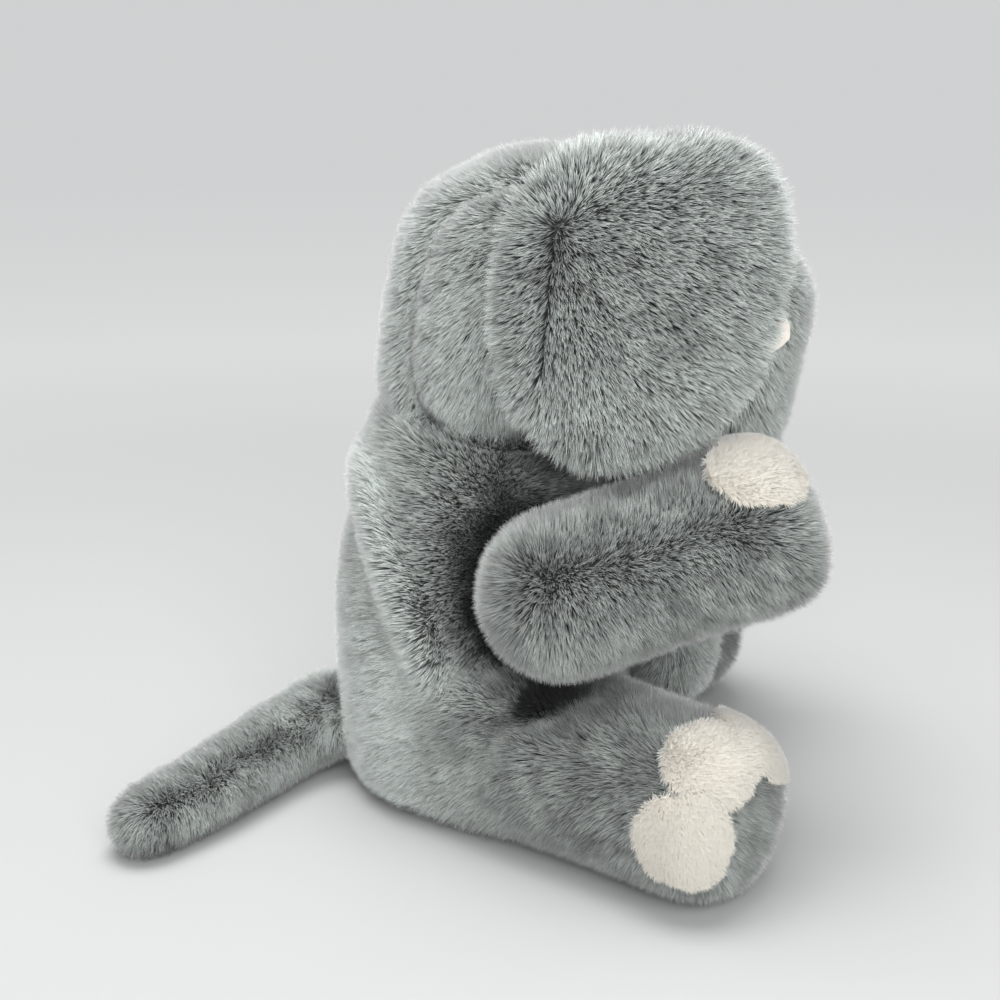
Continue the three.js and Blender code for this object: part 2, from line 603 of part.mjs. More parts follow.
// Tail: a tapered roll that lies on the floor behind, swept to the right.
function makeTail() {
  const bend = radians(TAIL_BEND);
  const lie = (share, turn, radius) => {
    const point = place(-1, Math.sin(turn) * share * TAIL_LENGTH, -Math.cos(turn) * share * TAIL_LENGTH, 0);
    return point.add(new THREE.Vector3(tailRoot.x, tailRoot.y, radius - FLOOR_PRESS));
  };
  const form = {
    spine: new THREE.CatmullRomCurve3([
      tailRoot,
      lie(0.3, bend * 0.8, THREE.MathUtils.lerp(TAIL_ROOT_RADIUS, TAIL_TIP_RADIUS, 0.3)),
      lie(0.65, bend, THREE.MathUtils.lerp(TAIL_ROOT_RADIUS, TAIL_TIP_RADIUS, 0.65)),
      lie(1, bend, TAIL_TIP_RADIUS),
    ]),
    radius: (share) => THREE.MathUtils.lerp(TAIL_ROOT_RADIUS, TAIL_TIP_RADIUS, share),
    endDepth: TAIL_TIP_RADIUS,
    bluntness: 2.2,
    across: new THREE.Vector3(1, 0, 0),
  };
  const cut = (shape) => shape.subtract(torsoClear).intersect(aboveFloor);
  const into = place(0, 0, 0, tailRoot.z);
  const { skin, fill } = skinAndFill(form, cut, rod(into, tailRoot, TAIL_ROOT_RADIUS * SEED_HOLE));
  addPiece("tail_skin", skin, greyPlush);
  addPiece("tail_stuffing", fill, fibreFill);
}

makeTorso();
makeHead();
makeTrunk();
makeTail();
for (const [name, side] of Object.entries(SIDES)) {
  makeEye(name, side);
  makeEar(name, side);
  makeLimb(`arm_${name}`, side, {
    root: shoulderCentres[name],
    splay: ARM_SPLAY,
    rise: ARM_RISE,
    length: ARM_LENGTH,
    rootRadius: ARM_RADIUS,
    pawRadius: ARM_PAW_RADIUS,
    pawHeight: armHeight + ARM_LENGTH * Math.sin(radians(ARM_RISE)),
    nailWidth: ARM_TOENAIL_WIDTH,
    nailTurn: ARM_TOENAIL_TURN,
  });
  makeLimb(`leg_${name}`, side, {
    root: hipCentres[name],
    splay: LEG_SPLAY,
    rise: 0,
    length: LEG_LENGTH,
    rootRadius: HIP_RADIUS,
    pawRadius: FOOT_RADIUS,
    pawHeight: FOOT_RADIUS - FLOOR_PRESS,
    nailWidth: LEG_TOENAIL_WIDTH,
    nailTurn: LEG_TOENAIL_TURN,
  });
}

export default puppet;
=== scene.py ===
"""Looks of the elephant hand puppet: mesh pile on plush skins, smooth ear linings and a woven lining."""
import json
import math

import bmesh
import bpy
import numpy as np
from mathutils import Matrix, Vector
from mathutils.bvhtree import BVHTree
from mathutils.kdtree import KDTree

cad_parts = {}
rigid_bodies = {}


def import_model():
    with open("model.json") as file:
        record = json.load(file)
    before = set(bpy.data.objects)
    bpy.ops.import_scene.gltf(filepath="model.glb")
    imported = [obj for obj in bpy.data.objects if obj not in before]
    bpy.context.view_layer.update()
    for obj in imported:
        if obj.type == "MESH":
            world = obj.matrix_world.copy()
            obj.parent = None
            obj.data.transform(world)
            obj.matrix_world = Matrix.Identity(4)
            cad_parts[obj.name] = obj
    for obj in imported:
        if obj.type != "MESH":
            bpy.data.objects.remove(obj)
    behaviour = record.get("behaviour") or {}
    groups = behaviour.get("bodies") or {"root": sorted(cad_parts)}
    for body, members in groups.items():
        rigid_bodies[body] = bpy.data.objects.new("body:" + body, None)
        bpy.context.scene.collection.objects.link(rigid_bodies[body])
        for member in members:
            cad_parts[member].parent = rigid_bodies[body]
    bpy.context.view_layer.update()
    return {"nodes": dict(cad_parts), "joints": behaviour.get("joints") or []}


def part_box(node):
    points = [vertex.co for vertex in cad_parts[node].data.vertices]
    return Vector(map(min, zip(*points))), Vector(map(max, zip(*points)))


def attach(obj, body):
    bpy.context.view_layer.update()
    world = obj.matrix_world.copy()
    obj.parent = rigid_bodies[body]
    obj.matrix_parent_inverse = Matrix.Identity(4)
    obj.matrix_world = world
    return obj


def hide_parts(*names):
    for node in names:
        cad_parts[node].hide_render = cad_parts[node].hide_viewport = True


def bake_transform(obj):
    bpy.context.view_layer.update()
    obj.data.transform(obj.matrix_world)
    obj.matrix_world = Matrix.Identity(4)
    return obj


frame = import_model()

# Sizes in metres. The solids are drawn half way up the pile, so a skin lies below its solid's surface.
# Pile density is in strands for each square centimetre, and relaxing is in rounds.
MM = 0.001
WELD = 0.01 * MM
BALL_SEGMENTS = 32
FORM_VOXEL = 3 * MM
FORM_RELAX = 14
PILE_LENGTH = 9 * MM
PILE_WIDTH = 0.43 * MM
PILE_DENSITY = 430
PILE_SINK = 4.2 * MM
EAR_SINK = 1.5 * MM
STRANDS_PER_PIECE = 60000
NAIL_VOXEL = 1.5 * MM
NAIL_GROW = 8.2 * MM
NAIL_PILE_LENGTH = 3 * MM
NAIL_PILE_DENSITY = 900
NAIL_CLEAR = 3.5 * MM
NAIL_HEIGHT = 7.5 * MM
NAIL_RELAX = 6
NAIL_BACK = {"arm": 6 * MM, "leg": 0}
FLOOR_CLEAR = 0.3 * MM
UP_SHARE = 0.35

# How strands stray from the lie of the fur, and how their lengths, widths and lifts differ.
BROAD_STRAY = 0.4
BROAD_STRAY_SIZE = 30 * MM
FINE_STRAY = 0.42
FINE_STRAY_SIZE = 7 * MM
OWN_STRAY = 0.25
LENGTH_RANGE = (0.75, 1.1)
WIDTH_RANGE = (0.8, 1.2)
LIFT_SPREAD = 8

# Camera, fitted to the photo's outline.
CAMERA_TURN = math.radians(-86)
CAMERA_RISE = math.radians(14)
CAMERA_DISTANCE = 0.62
CAMERA_TARGET = Vector((0, -0.006, 0.115))
CAMERA_ANGLE = math.radians(36)

SIDES = ("left", "right")
SIGN = {"left": 1, "right": -1}
LIMBS = ("arm_left", "arm_right", "leg_left", "leg_right")
DOWN = np.array((0.0, 0.0, -1.0))
TONES = 64
HIGHEST_TONE = 0.999
SEED = {
    "torso": 100, "head": 200, "trunk": 300, "tail": 400, "nails": 500,
    "limbs": 600, "ears": 700, "hips": 760, "neck": 800, "cloth": 900,
}
SEED_STEP = 20

pivot = {joint["child"]: np.array(joint["pos_m"]) for joint in frame["joints"]}
parent = {joint["child"]: joint["parent"] for joint in frame["joints"]}


# Small helpers.
def unit(vectors):
    return vectors / np.maximum(np.linalg.norm(vectors, axis=-1, keepdims=True), 1e-9)


def bell(distance, reach):
    return np.exp(-(distance / reach) ** 2)


def ease(value, start, end):
    share = np.clip((value - start) / (end - start), 0, 1)
    return share * share * (3 - 2 * share)


def link(piece):
    bpy.context.scene.collection.objects.link(piece)
    return piece


def wander(points, size, seed):
    """Smooth random vectors that change over about one size."""
    cells = 32
    lattice = np.random.default_rng(seed).uniform(-1, 1, (cells, cells, cells, 3))
    spot = points / size
    low = np.floor(spot).astype(int)
    share = ease(spot - low, 0, 1)
    total = np.zeros_like(points)
    for corner in np.ndindex(2, 2, 2):
        step = np.array(corner)
        weight = np.prod(np.where(step == 1, share, 1 - share), axis=1)
        cell = (low + step) % cells
        total += weight[:, None] * lattice[cell[:, 0], cell[:, 1], cell[:, 2]]
    return total


def points_of(mesh):
    points = np.zeros(len(mesh.vertices) * 3, np.float32)
    mesh.vertices.foreach_get("co", points)
    return points.reshape(-1, 3).astype(float)


def normals_of(mesh):
    normals = np.zeros(len(mesh.vertices) * 3, np.float32)
    mesh.vertices.foreach_get("normal", normals)
    return normals.reshape(-1, 3).astype(float)


def set_points(mesh, points):
    mesh.vertices.foreach_set("co", points.astype(np.float32).ravel())
    mesh.update()


def nearest_tree(points):
    tree = KDTree(len(points))
    for index, point in enumerate(points):
        tree.insert(point, index)
    tree.balance()
    return tree


def distances(tree, points):
    return np.array([tree.find(point)[2] for point in points])


# Soft forms: solids joined, remeshed and relaxed.
def joined_copy(name, nodes, balls=()):
    build = bmesh.new()
    for node in nodes:
        build.from_mesh(frame["nodes"][node].data)
    bmesh.ops.remove_doubles(build, verts=build.verts, dist=WELD)
    for centre, radius in balls:
        place = Matrix.Translation(Vector(centre))
        bmesh.ops.create_uvsphere(
            build, u_segments=BALL_SEGMENTS, v_segments=BALL_SEGMENTS // 2, radius=radius, matrix=place
        )
    mesh = bpy.data.meshes.new(name)
    build.to_mesh(mesh)
    build.free()
    return link(bpy.data.objects.new(name, mesh))


def remesh(piece, voxel):
    change = piece.modifiers.new("remesh", "REMESH")
    change.mode = "VOXEL"
    change.voxel_size = voxel
    graph = bpy.context.evaluated_depsgraph_get()
    mesh = bpy.data.meshes.new_from_object(piece.evaluated_get(graph))
    build = bmesh.new()
    build.from_mesh(mesh)
    bmesh.ops.recalc_face_normals(build, faces=build.faces)
    build.to_mesh(mesh)
    build.free()
    piece.modifiers.clear()
    piece.data = mesh
    mesh.name = piece.name


def relaxed(points, edges, rounds):
    first, second = edges[:, 0], edges[:, 1]
    count = len(points)
    degree = np.bincount(edges.ravel(), minlength=count)[:, None]
    for _ in range(rounds):
        total = np.empty_like(points)
        for axis in range(3):
            total[:, axis] = np.bincount(first, points[second, axis], count)
            total[:, axis] += np.bincount(second, points[first, axis], count)
        points = 0.5 * points + 0.5 * total / degree
    return points


def edges_of(mesh):
    edges = np.zeros(len(mesh.edges) * 2, np.int32)
    mesh.edges.foreach_get("vertices", edges)
    return edges.reshape(-1, 2)


def soft_form(name, nodes, voxel, rounds=FORM_RELAX, balls=()):
    """The solids as one smooth form of the same size. Balls close the holes in it."""
    piece = joined_copy(name, nodes, balls)
    remesh(piece, voxel)
    mesh = piece.data
    before = points_of(mesh)
    after = relaxed(before, edges_of(mesh), rounds)
    set_points(mesh, after)
    normals = normals_of(mesh)
    shrunk = float(np.mean(np.sum((before - after) * normals, axis=1)))
    set_points(mesh, after + normals * shrunk)
    mesh.shade_smooth()
    return piece


def move_along_normals(piece, amount):
    points = points_of(piece.data) + normals_of(piece.data) * np.reshape(amount, (-1, 1))
    points[:, 2] = np.maximum(points[:, 2], FLOOR_CLEAR)
    set_points(piece.data, points)


# Pile: thin three-sided strands that lean along the lie of the fur.
def scatter(mesh, per_cm2, seed):
    """Even random places on a mesh, with their normals."""
    mesh.calc_loop_triangles()
    corners = np.zeros(len(mesh.loop_triangles) * 3, np.int32)
    mesh.loop_triangles.foreach_get("vertices", corners)
    corners = corners.reshape(-1, 3)
    points = points_of(mesh)
    normals = normals_of(mesh)
    a, b, c = (points[corners[:, k]] for k in range(3))
    areas = np.linalg.norm(np.cross(b - a, c - a), axis=1) / 2
    rng = np.random.default_rng(seed)
    count = int(areas.sum() * 1e4 * per_cm2)
    chosen = corners[rng.choice(len(corners), count, p=areas / areas.sum())]
    mix = rng.random((count, 2))
    over = mix.sum(axis=1) > 1
    mix[over] = 1 - mix[over]
    weights = np.column_stack((1 - mix.sum(axis=1), mix))[:, :, None]
    return (points[chosen] * weights).sum(axis=1), unit((normals[chosen] * weights).sum(axis=1))


def tips(roots, normals, lie, lift, look, share, seed):
    """The strands' ends. The lift is a strand's angle to the skin, in degrees."""
    rng = np.random.default_rng(seed)
    count = len(roots)
    lie = unit(lie) + BROAD_STRAY * wander(roots, BROAD_STRAY_SIZE, seed + 1)
    lie = lie + FINE_STRAY * wander(roots, FINE_STRAY_SIZE, seed + 2)
    lie = lie + OWN_STRAY * rng.normal(size=(count, 3))
    flat = unit(lie - normals * np.sum(lie * normals, axis=1, keepdims=True))
    length = look["length"] * share[:, None] * rng.uniform(*LENGTH_RANGE, (count, 1))
    lift = np.radians(lift[:, None] + rng.normal(0, LIFT_SPREAD, (count, 1)))
    ends = roots + (normals * np.sin(lift) + flat * np.cos(lift)) * length
    leaders = rng.choice(count, max(count // look["tuft"], 1), replace=False)
    tree = nearest_tree(roots[leaders])
    mine = leaders[[tree.find(root)[1] for root in roots]]
    ends += look["gather"] * (ends[mine] - ends)
    ends[:, 2] = np.maximum(ends[:, 2], FLOOR_CLEAR)
    return ends


def strands(name, roots, ends, normals, tone, look, seed):
    """One mesh of strands. Its map's columns hold the tones and its rows run from root to tip.

    The strands are lit as the skin below them is, and a little more from above,
    as thin fibres pass light on.
    """
    rng = np.random.default_rng(seed)
    count = len(roots)
    along = unit(ends - roots)
    first = unit(np.cross(along, rng.normal(size=(count, 3))))
    second = np.cross(along, first)
    radius = look["width"] / 2 * rng.uniform(*WIDTH_RANGE, (count, 1))
    # A strand has four points: three round its root and one at its tip.
    points = []
    for turn in np.radians((0, 120, 240)):
        ring = roots + radius * (first * math.cos(turn) + second * math.sin(turn))
        ring[:, 2] = np.maximum(ring[:, 2], FLOOR_CLEAR)
        points.append(ring)
    points = np.stack((*points, ends), axis=1)
    corner = np.array((0, 1, 3, 1, 2, 3, 2, 0, 3))
    loops = (np.arange(count)[:, None] * 4 + corner).ravel()
    mesh = bpy.data.meshes.new(name)
    mesh.vertices.add(count * 4)
    mesh.vertices.foreach_set("co", points.astype(np.float32).ravel())
    mesh.loops.add(len(loops))
    mesh.loops.foreach_set("vertex_index", loops.astype(np.int32))
    mesh.polygons.add(count * 3)
    mesh.polygons.foreach_set("loop_start", np.arange(0, count * 9, 3, dtype=np.int32))
    shown = np.clip(tone + rng.normal(0, look["jitter"], count), 0, HIGHEST_TONE)
    column = np.floor(shown * TONES)[:, None]
    edge = np.array((0.1, 0.9, 0.5) * 3)
    rise = np.array((0.02, 0.02, 0.98) * 3)
    spots = np.stack(((column + edge) / TONES, np.broadcast_to(rise, (count, 9))), axis=2)
    layer = mesh.uv_layers.new(name="OFBake")
    layer.data.foreach_set("uv", spots.astype(np.float32).ravel())
    mesh.update(calc_edges=True)
    mesh.shade_smooth()
    facing = unit(normals - UP_SHARE * DOWN + look["relief"] * rng.normal(size=(count, 3)))
    mesh.normals_split_custom_set_from_vertices(np.repeat(facing, 4, axis=0))
    mesh.materials.append(look["material"])
    return link(bpy.data.objects.new(name, mesh))


def pile(name, roots, normals, lie, lift, look, tone, share, seed):
    """Strands in as many pieces as their number needs."""
    ends = tips(roots, normals, lie, lift, look, share, seed)
    parts = np.array_split(np.arange(len(roots)), len(roots) // STRANDS_PER_PIECE + 1)
    pieces = []
    for number, part in enumerate(parts):
        part_name = name if len(parts) == 1 else f"{name}_{number + 1}"
        facts = (roots[part], ends[part], normals[part], tone[part])
        piece = strands(part_name, *facts, look, seed + 7 + number)
        pieces.append(piece)
    return pieces


# Materials.
BROAD_NAP = 0.08
WEAVE_SCALE = 0.32


def new_material(name, roughness, specular):
    material = bpy.data.materials.new(name)
    material.use_nodes = True
    shader = material.node_tree.nodes["Principled BSDF"]
    shader.inputs["Roughness"].default_value = roughness
    shader.inputs["Specular IOR Level"].default_value = specular
    return material, shader


def add_node(material, kind, **values):
    node = material.node_tree.nodes.new(kind)
    for key, value in values.items():
        setattr(node, key, value)
    return node


def wire(material, source, target):
    material.node_tree.links.new(source, target)


def fill_ramp(ramp, stops):
    ramp.color_ramp.elements[0].position = stops[0][0]
    ramp.color_ramp.elements[1].position = stops[-1][0]
    for place, _ in stops[1:-1]:
        ramp.color_ramp.elements.new(place)
    for element, (_, colour) in zip(ramp.color_ramp.elements, stops):
        element.color = (*colour, 1)


def pile_material(name, stops, darkest, lightest):
    """Colour from root to tip, times a tone for each strand."""
    material, shader = new_material(name, roughness=0.8, specular=0.2)
    shader.inputs["Sheen Weight"].default_value = 1
    shader.inputs["Sheen Roughness"].default_value = 0.4
    spot = add_node(material, "ShaderNodeUVMap", uv_map="OFBake")
    split = add_node(material, "ShaderNodeSeparateXYZ")
    ramp = add_node(material, "ShaderNodeValToRGB")
    fill_ramp(ramp, stops)
    spread = add_node(material, "ShaderNodeMapRange")
    spread.inputs["To Min"].default_value = darkest
    spread.inputs["To Max"].default_value = lightest
    shade = add_node(material, "ShaderNodeVectorMath", operation="SCALE")
    wire(material, spot.outputs["UV"], split.inputs[0])
    wire(material, split.outputs["Y"], ramp.inputs["Fac"])
    wire(material, split.outputs["X"], spread.inputs["Value"])
    wire(material, ramp.outputs["Color"], shade.inputs[0])
    wire(material, spread.outputs["Result"], shade.inputs["Scale"])
    wire(material, shade.outputs["Vector"], shader.inputs["Base Color"])
    return material


def nap_material(name, dark, light, grain, rise, roughness=0.9, sheen=0.3):
    """Cloth with a fine uneven nap."""
    material, shader = new_material(name, roughness, specular=0.15)
    shader.inputs["Sheen Weight"].default_value = sheen
    place = add_node(material, "ShaderNodeTexCoord")
    fine = add_node(material, "ShaderNodeTexNoise")
    fine.inputs["Scale"].default_value = 1 / grain
    fine.inputs["Detail"].default_value = 4
    broad = add_node(material, "ShaderNodeTexNoise")
    broad.inputs["Scale"].default_value = BROAD_NAP / grain
    both = add_node(material, "ShaderNodeMath", operation="ADD")
    ramp = add_node(material, "ShaderNodeValToRGB")
    fill_ramp(ramp, ((0.75, dark), (1.25, light)))
    bump = add_node(material, "ShaderNodeBump")
    bump.inputs["Strength"].default_value = 0.6
    bump.inputs["Distance"].default_value = rise
    for noise in (fine, broad):
        wire(material, place.outputs["Object"], noise.inputs["Vector"])
    wire(material, fine.outputs["Fac"], both.inputs[0])
    wire(material, broad.outputs["Fac"], both.inputs[1])
    wire(material, both.outputs[0], ramp.inputs["Fac"])
    wire(material, ramp.outputs["Color"], shader.inputs["Base Color"])
    wire(material, fine.outputs["Fac"], bump.inputs["Height"])
    wire(material, bump.outputs["Normal"], shader.inputs["Normal"])
    return material


def weave_material(name, dark, light, thread):
    """Plain weave from two crossed sets of threads."""
    material, shader = new_material(name, roughness=0.85, specular=0.2)
    place = add_node(material, "ShaderNodeTexCoord")
    sets = []
    for direction in ("X", "Z"):
        wave = add_node(material, "ShaderNodeTexWave", bands_direction=direction)
        wave.inputs["Scale"].default_value = WEAVE_SCALE / thread
        wave.inputs["Distortion"].default_value = 0.6
        wire(material, place.outputs["Object"], wave.inputs["Vector"])
        sets.append(wave)
    cross = add_node(material, "ShaderNodeMath", operation="MULTIPLY")
    ramp = add_node(material, "ShaderNodeValToRGB")
    fill_ramp(ramp, ((0, dark), (1, light)))
    bump = add_node(material, "ShaderNodeBump")
    bump.inputs["Strength"].default_value = 0.5
    bump.inputs["Distance"].default_value = thread / 3
    wire(material, sets[0].outputs["Fac"], cross.inputs[0])
    wire(material, sets[1].outputs["Fac"], cross.inputs[1])
    wire(material, cross.outputs[0], ramp.inputs["Fac"])
    wire(material, ramp.outputs["Color"], shader.inputs["Base Color"])
    wire(material, cross.outputs[0], bump.inputs["Height"])
    wire(material, bump.outputs["Normal"], shader.inputs["Normal"])
    return material


def eye_material():
    material, shader = new_material("eye_gloss", roughness=0.08, specular=0.6)
    shader.inputs["Coat Weight"].default_value = 0.6
    shader.inputs["Coat Roughness"].default_value = 0.04
    place = add_node(material, "ShaderNodeTexCoord")
    noise = add_node(material, "ShaderNodeTexNoise")
    noise.inputs["Scale"].default_value = 300
    ramp = add_node(material, "ShaderNodeValToRGB")
    fill_ramp(ramp, ((0.3, (0.004, 0.0035, 0.003)), (0.7, (0.009, 0.007, 0.006))))
    wire(material, place.outputs["Object"], noise.inputs["Vector"])
    wire(material, noise.outputs["Fac"], ramp.inputs["Fac"])
    wire(material, ramp.outputs["Color"], shader.inputs["Base Color"])
    return material


# Colours of the pile from root to tip.
GREY_STOPS = (
    (0.0, (0.042, 0.047, 0.0445)),
    (0.3, (0.095, 0.105, 0.1)),
    (0.55, (0.36, 0.396, 0.379)),
    (0.8, (0.73, 0.79, 0.757)),
    (1.0, (0.9, 0.95, 0.92)),
)
CREAM_STOPS = (
    (0.0, (0.86, 0.79, 0.67)),
    (0.5, (0.91, 0.86, 0.76)),
    (1.0, (0.95, 0.92, 0.83)),
)
BACKING_NAP = {"grain": 1.2 * MM, "rise": 0.6 * MM}
VELOUR_NAP = {"grain": 0.7 * MM, "rise": 0.35 * MM, "roughness": 0.85, "sheen": 0.5}
grey_pile = pile_material("grey_pile", GREY_STOPS, darkest=0.03, lightest=1.25)
cream_pile = pile_material("cream_pile", CREAM_STOPS, darkest=0.94, lightest=1.03)
grey_backing = nap_material("grey_backing", (0.06, 0.065, 0.062), (0.12, 0.129, 0.124), **BACKING_NAP)
cream_backing = nap_material("cream_backing", (0.84, 0.77, 0.65), (0.9, 0.85, 0.75), **BACKING_NAP)
ear_velour = nap_material("ear_velour", (0.74, 0.68, 0.6), (0.88, 0.83, 0.76), **VELOUR_NAP)
lining_weave = weave_material("lining_weave", (0.16, 0.17, 0.175), (0.33, 0.35, 0.355), thread=0.7 * MM)

GREY_LOOK = {
    "length": PILE_LENGTH, "width": PILE_WIDTH, "tuft": 6, "gather": 0.35, "relief": 0.12, "jitter": 0.09,
    "material": grey_pile, "slot": "grey_plush",
}
CREAM_LOOK = {
    "length": NAIL_PILE_LENGTH, "width": 0.5 * MM, "tuft": 6, "gather": 0, "relief": 0, "jitter": 0.15,
    "material": cream_pile, "slot": "cream_plush",
}


# Plush forms, first at the size of their solids.
def limb_nodes(name):
    return (f"{name}_skin", f"{name}_stuffing", f"{name}_sole")


plush_nodes = {
    "torso": ("torso_front_panel", "torso_back_panel", "torso_stuffing"),
    "head": ("head_gusset", "chin_panel", "head_side_left", "head_side_right", "head_stuffing"),
    "trunk": ("trunk_skin", "trunk_stuffing"),
    "tail": ("tail_skin", "tail_stuffing"),
    "ear_left": ("ear_left_outer",),
    "ear_right": ("ear_right_outer",),
}
plush_nodes.update({name: limb_nodes(name) for name in LIMBS})

# Balls close the holes in the round roots and cover the washers behind the eyes.
ball_radius = {"arm_left": 29 * MM, "arm_right": 29 * MM, "tail": 17 * MM, "trunk": 25 * MM}
eye_centres = {side: np.array(sum(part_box(f"eye_{side}"), Vector()) / 2) for side in SIDES}
washer_centres = {side: np.array(sum(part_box(f"eye_washer_{side}"), Vector()) / 2) for side in SIDES}
WASHER_COVER = 8 * MM
WASHER_COVER_DEPTH = 3 * MM
closing = {body: [(pivot[body], radius)] for body, radius in ball_radius.items()}
closing["head"] = []
for side in SIDES:
    inward = unit(washer_centres[side] - eye_centres[side])
    closing["head"].append((washer_centres[side] + WASHER_COVER_DEPTH * inward, WASHER_COVER))
forms = {}
for body, nodes in plush_nodes.items():
    form = soft_form(f"{body}_plush", nodes, FORM_VOXEL, balls=closing.get(body, ()))
    form.data.materials.append(grey_backing)
    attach(form, body)
    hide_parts(*nodes)
    forms[body] = form

# Seams: a raised one down each side of the torso, and a drawn-in one on each side of the head's gusset.
# Two values in brackets are where a change starts and where it is complete.
SEAM_WIDTH = 5 * MM
SIDE_SEAM_BACK = 18 * MM
SIDE_SEAM_MIDDLE = 74 * MM
SIDE_SEAM_SLOPE = math.tan(math.radians(20))
SIDE_SEAM_HEIGHT = 6 * MM
SIDE_SEAM_START = (45 * MM, 75 * MM)
SIDE_SEAM_END = (125 * MM, 145 * MM)
GUSSET_HALF_WIDTH = 31 * MM
GUSSET_DEPTH = 5.5 * MM
FACE_FRONT = -45 * MM
CHIN_TOP = 190 * MM
CREASE_START = np.array((-50 * MM, 66 * MM))
CREASE_END = np.array((-14 * MM, 49 * MM))
CREASE_DEPTH = 5 * MM
CREASE_FADE = 0.6
CREASE_INNER = (40 * MM, 55 * MM)

# The torso dips behind its side seam, and its back is fuller than the solid's.
DIP_DEPTH = 2.5 * MM
DIP_BACK = 13 * MM
DIP_WIDTH = 9 * MM
DIP_END = (110 * MM, 140 * MM)
FULL_BACK = 5.5 * MM
FULL_START = (30 * MM, 110 * MM)
FULL_FRONT = (-5 * MM, 30 * MM)
FULL_END = (146 * MM, 149 * MM)


def behind_side_seam(points):
    return points[:, 1] - SIDE_SEAM_BACK - SIDE_SEAM_SLOPE * (points[:, 2] - SIDE_SEAM_MIDDLE)


def side_seam(points):
    fade = ease(points[:, 2], *SIDE_SEAM_START) * (1 - ease(points[:, 2], *SIDE_SEAM_END))
    return bell(behind_side_seam(points), SEAM_WIDTH) * fade


def gusset_seam(points):
    on_front_below = (points[:, 1] < FACE_FRONT) & (points[:, 2] < CHIN_TOP)
    return bell(np.abs(points[:, 0]) - GUSSET_HALF_WIDTH, SEAM_WIDTH) * np.where(on_front_below, 0, 1)


def thigh_crease(points):
    spot = points[:, 1:]
    line = CREASE_END - CREASE_START
    share = np.clip((spot - CREASE_START) @ line / (line @ line), 0, 1)
    away = np.linalg.norm(spot - (CREASE_START + share[:, None] * line), axis=1)
    return bell(away, SEAM_WIDTH) * (1 - CREASE_FADE * share) * ease(np.abs(points[:, 0]), *CREASE_INNER)


def seam_relief(body, points):
    if body.startswith("leg"):
        return -CREASE_DEPTH * thigh_crease(points)
    if body == "torso":
        dip = bell(behind_side_seam(points) - DIP_BACK, DIP_WIDTH) * (1 - ease(points[:, 2], *DIP_END))
        fuller = ease(points[:, 2], *FULL_START) * ease(points[:, 1], *FULL_FRONT)
        fuller *= 1 - ease(points[:, 2], *FULL_END)
        relief = SIDE_SEAM_HEIGHT * side_seam(points) - DIP_DEPTH * dip + FULL_BACK * fuller
        return relief - CREASE_DEPTH * thigh_crease(points)
    if body == "head":
        return -GUSSET_DEPTH * gusset_seam(points)
    return np.zeros(len(points))


def from_eyes(points):
    return np.minimum(*(np.linalg.norm(points - eye_centres[side], axis=1) for side in SIDES))


# Skins are drawn in under their pile, but stay put where two forms meet at a joint and round the eyes.
MEETING_REACH = (3 * MM, 7 * MM)
EYE_REACH = (10 * MM, 20 * MM)
neighbours = {body: [child for child in parent if parent[child] == body] for body in forms}
for child in parent:
    neighbours[child].append(parent[child])
solid_points = {body: points_of(form.data) for body, form in forms.items()}
meeting = {}
for body in forms:
    around = [solid_points[other] for other in neighbours[body]]
    meeting[body] = nearest_tree(np.concatenate(around))
for body, form in forms.items():
    apart = distances(meeting[body], solid_points[body])
    sink = EAR_SINK if body.startswith("ear") else PILE_SINK
    free = ease(from_eyes(solid_points[body]), *EYE_REACH) if body == "head" else 1
    change = seam_relief(body, solid_points[body]) - sink * ease(apart, *MEETING_REACH)
    move_along_normals(form, free * change)


# Grey fur. Where a body lies close under others, its tips are painted darker: painted shade.
BASE_TONE = 0.738
BASE_LIFT = 74
ARMS = ("arm_left", "arm_right")
EARS = ("ear_left", "ear_right")
BROAD_TONE = 0.1
BROAD_TONE_SIZE = 24 * MM
FINE_TONE = 0.18
FINE_TONE_SIZE = 5 * MM
LIFT_DRIFT = 7
LIFT_DRIFT_SIZE = 6 * MM
# Painted contact shadow: fur close to the floor is painted darker.
FLOOR_PAINTED_SHADE = 0.7
FLOOR_FRINGE = (4 * MM, 11 * MM)
# Painted shade under other forms: how much darker, and from how near.
COVER_PAINTED_SHADE = 0.95
COVER_NEAR = 3 * MM
covered_by = {"torso": (ARMS + EARS, 30 * MM), "head": (EARS, 18 * MM)}
for side in SIDES:
    covered_by[f"leg_{side}"] = ((f"arm_{side}",), 25 * MM)
    covered_by[f"arm_{side}"] = ((f"ear_{side}",), 25 * MM)


def level(value):
    return lambda roots, normals: np.full(len(roots), float(value))


def painted_cover_shade(body):
    """Painted shade: how much darker the fur is painted where these forms lie over it."""
    if body not in covered_by:
        return level(0)
    others, reach_down = covered_by[body]
    tree = nearest_tree(np.concatenate([solid_points[other] for other in others]))
    return lambda roots, normals: COVER_PAINTED_SHADE * (1 - ease(distances(tree, roots), COVER_NEAR, reach_down))


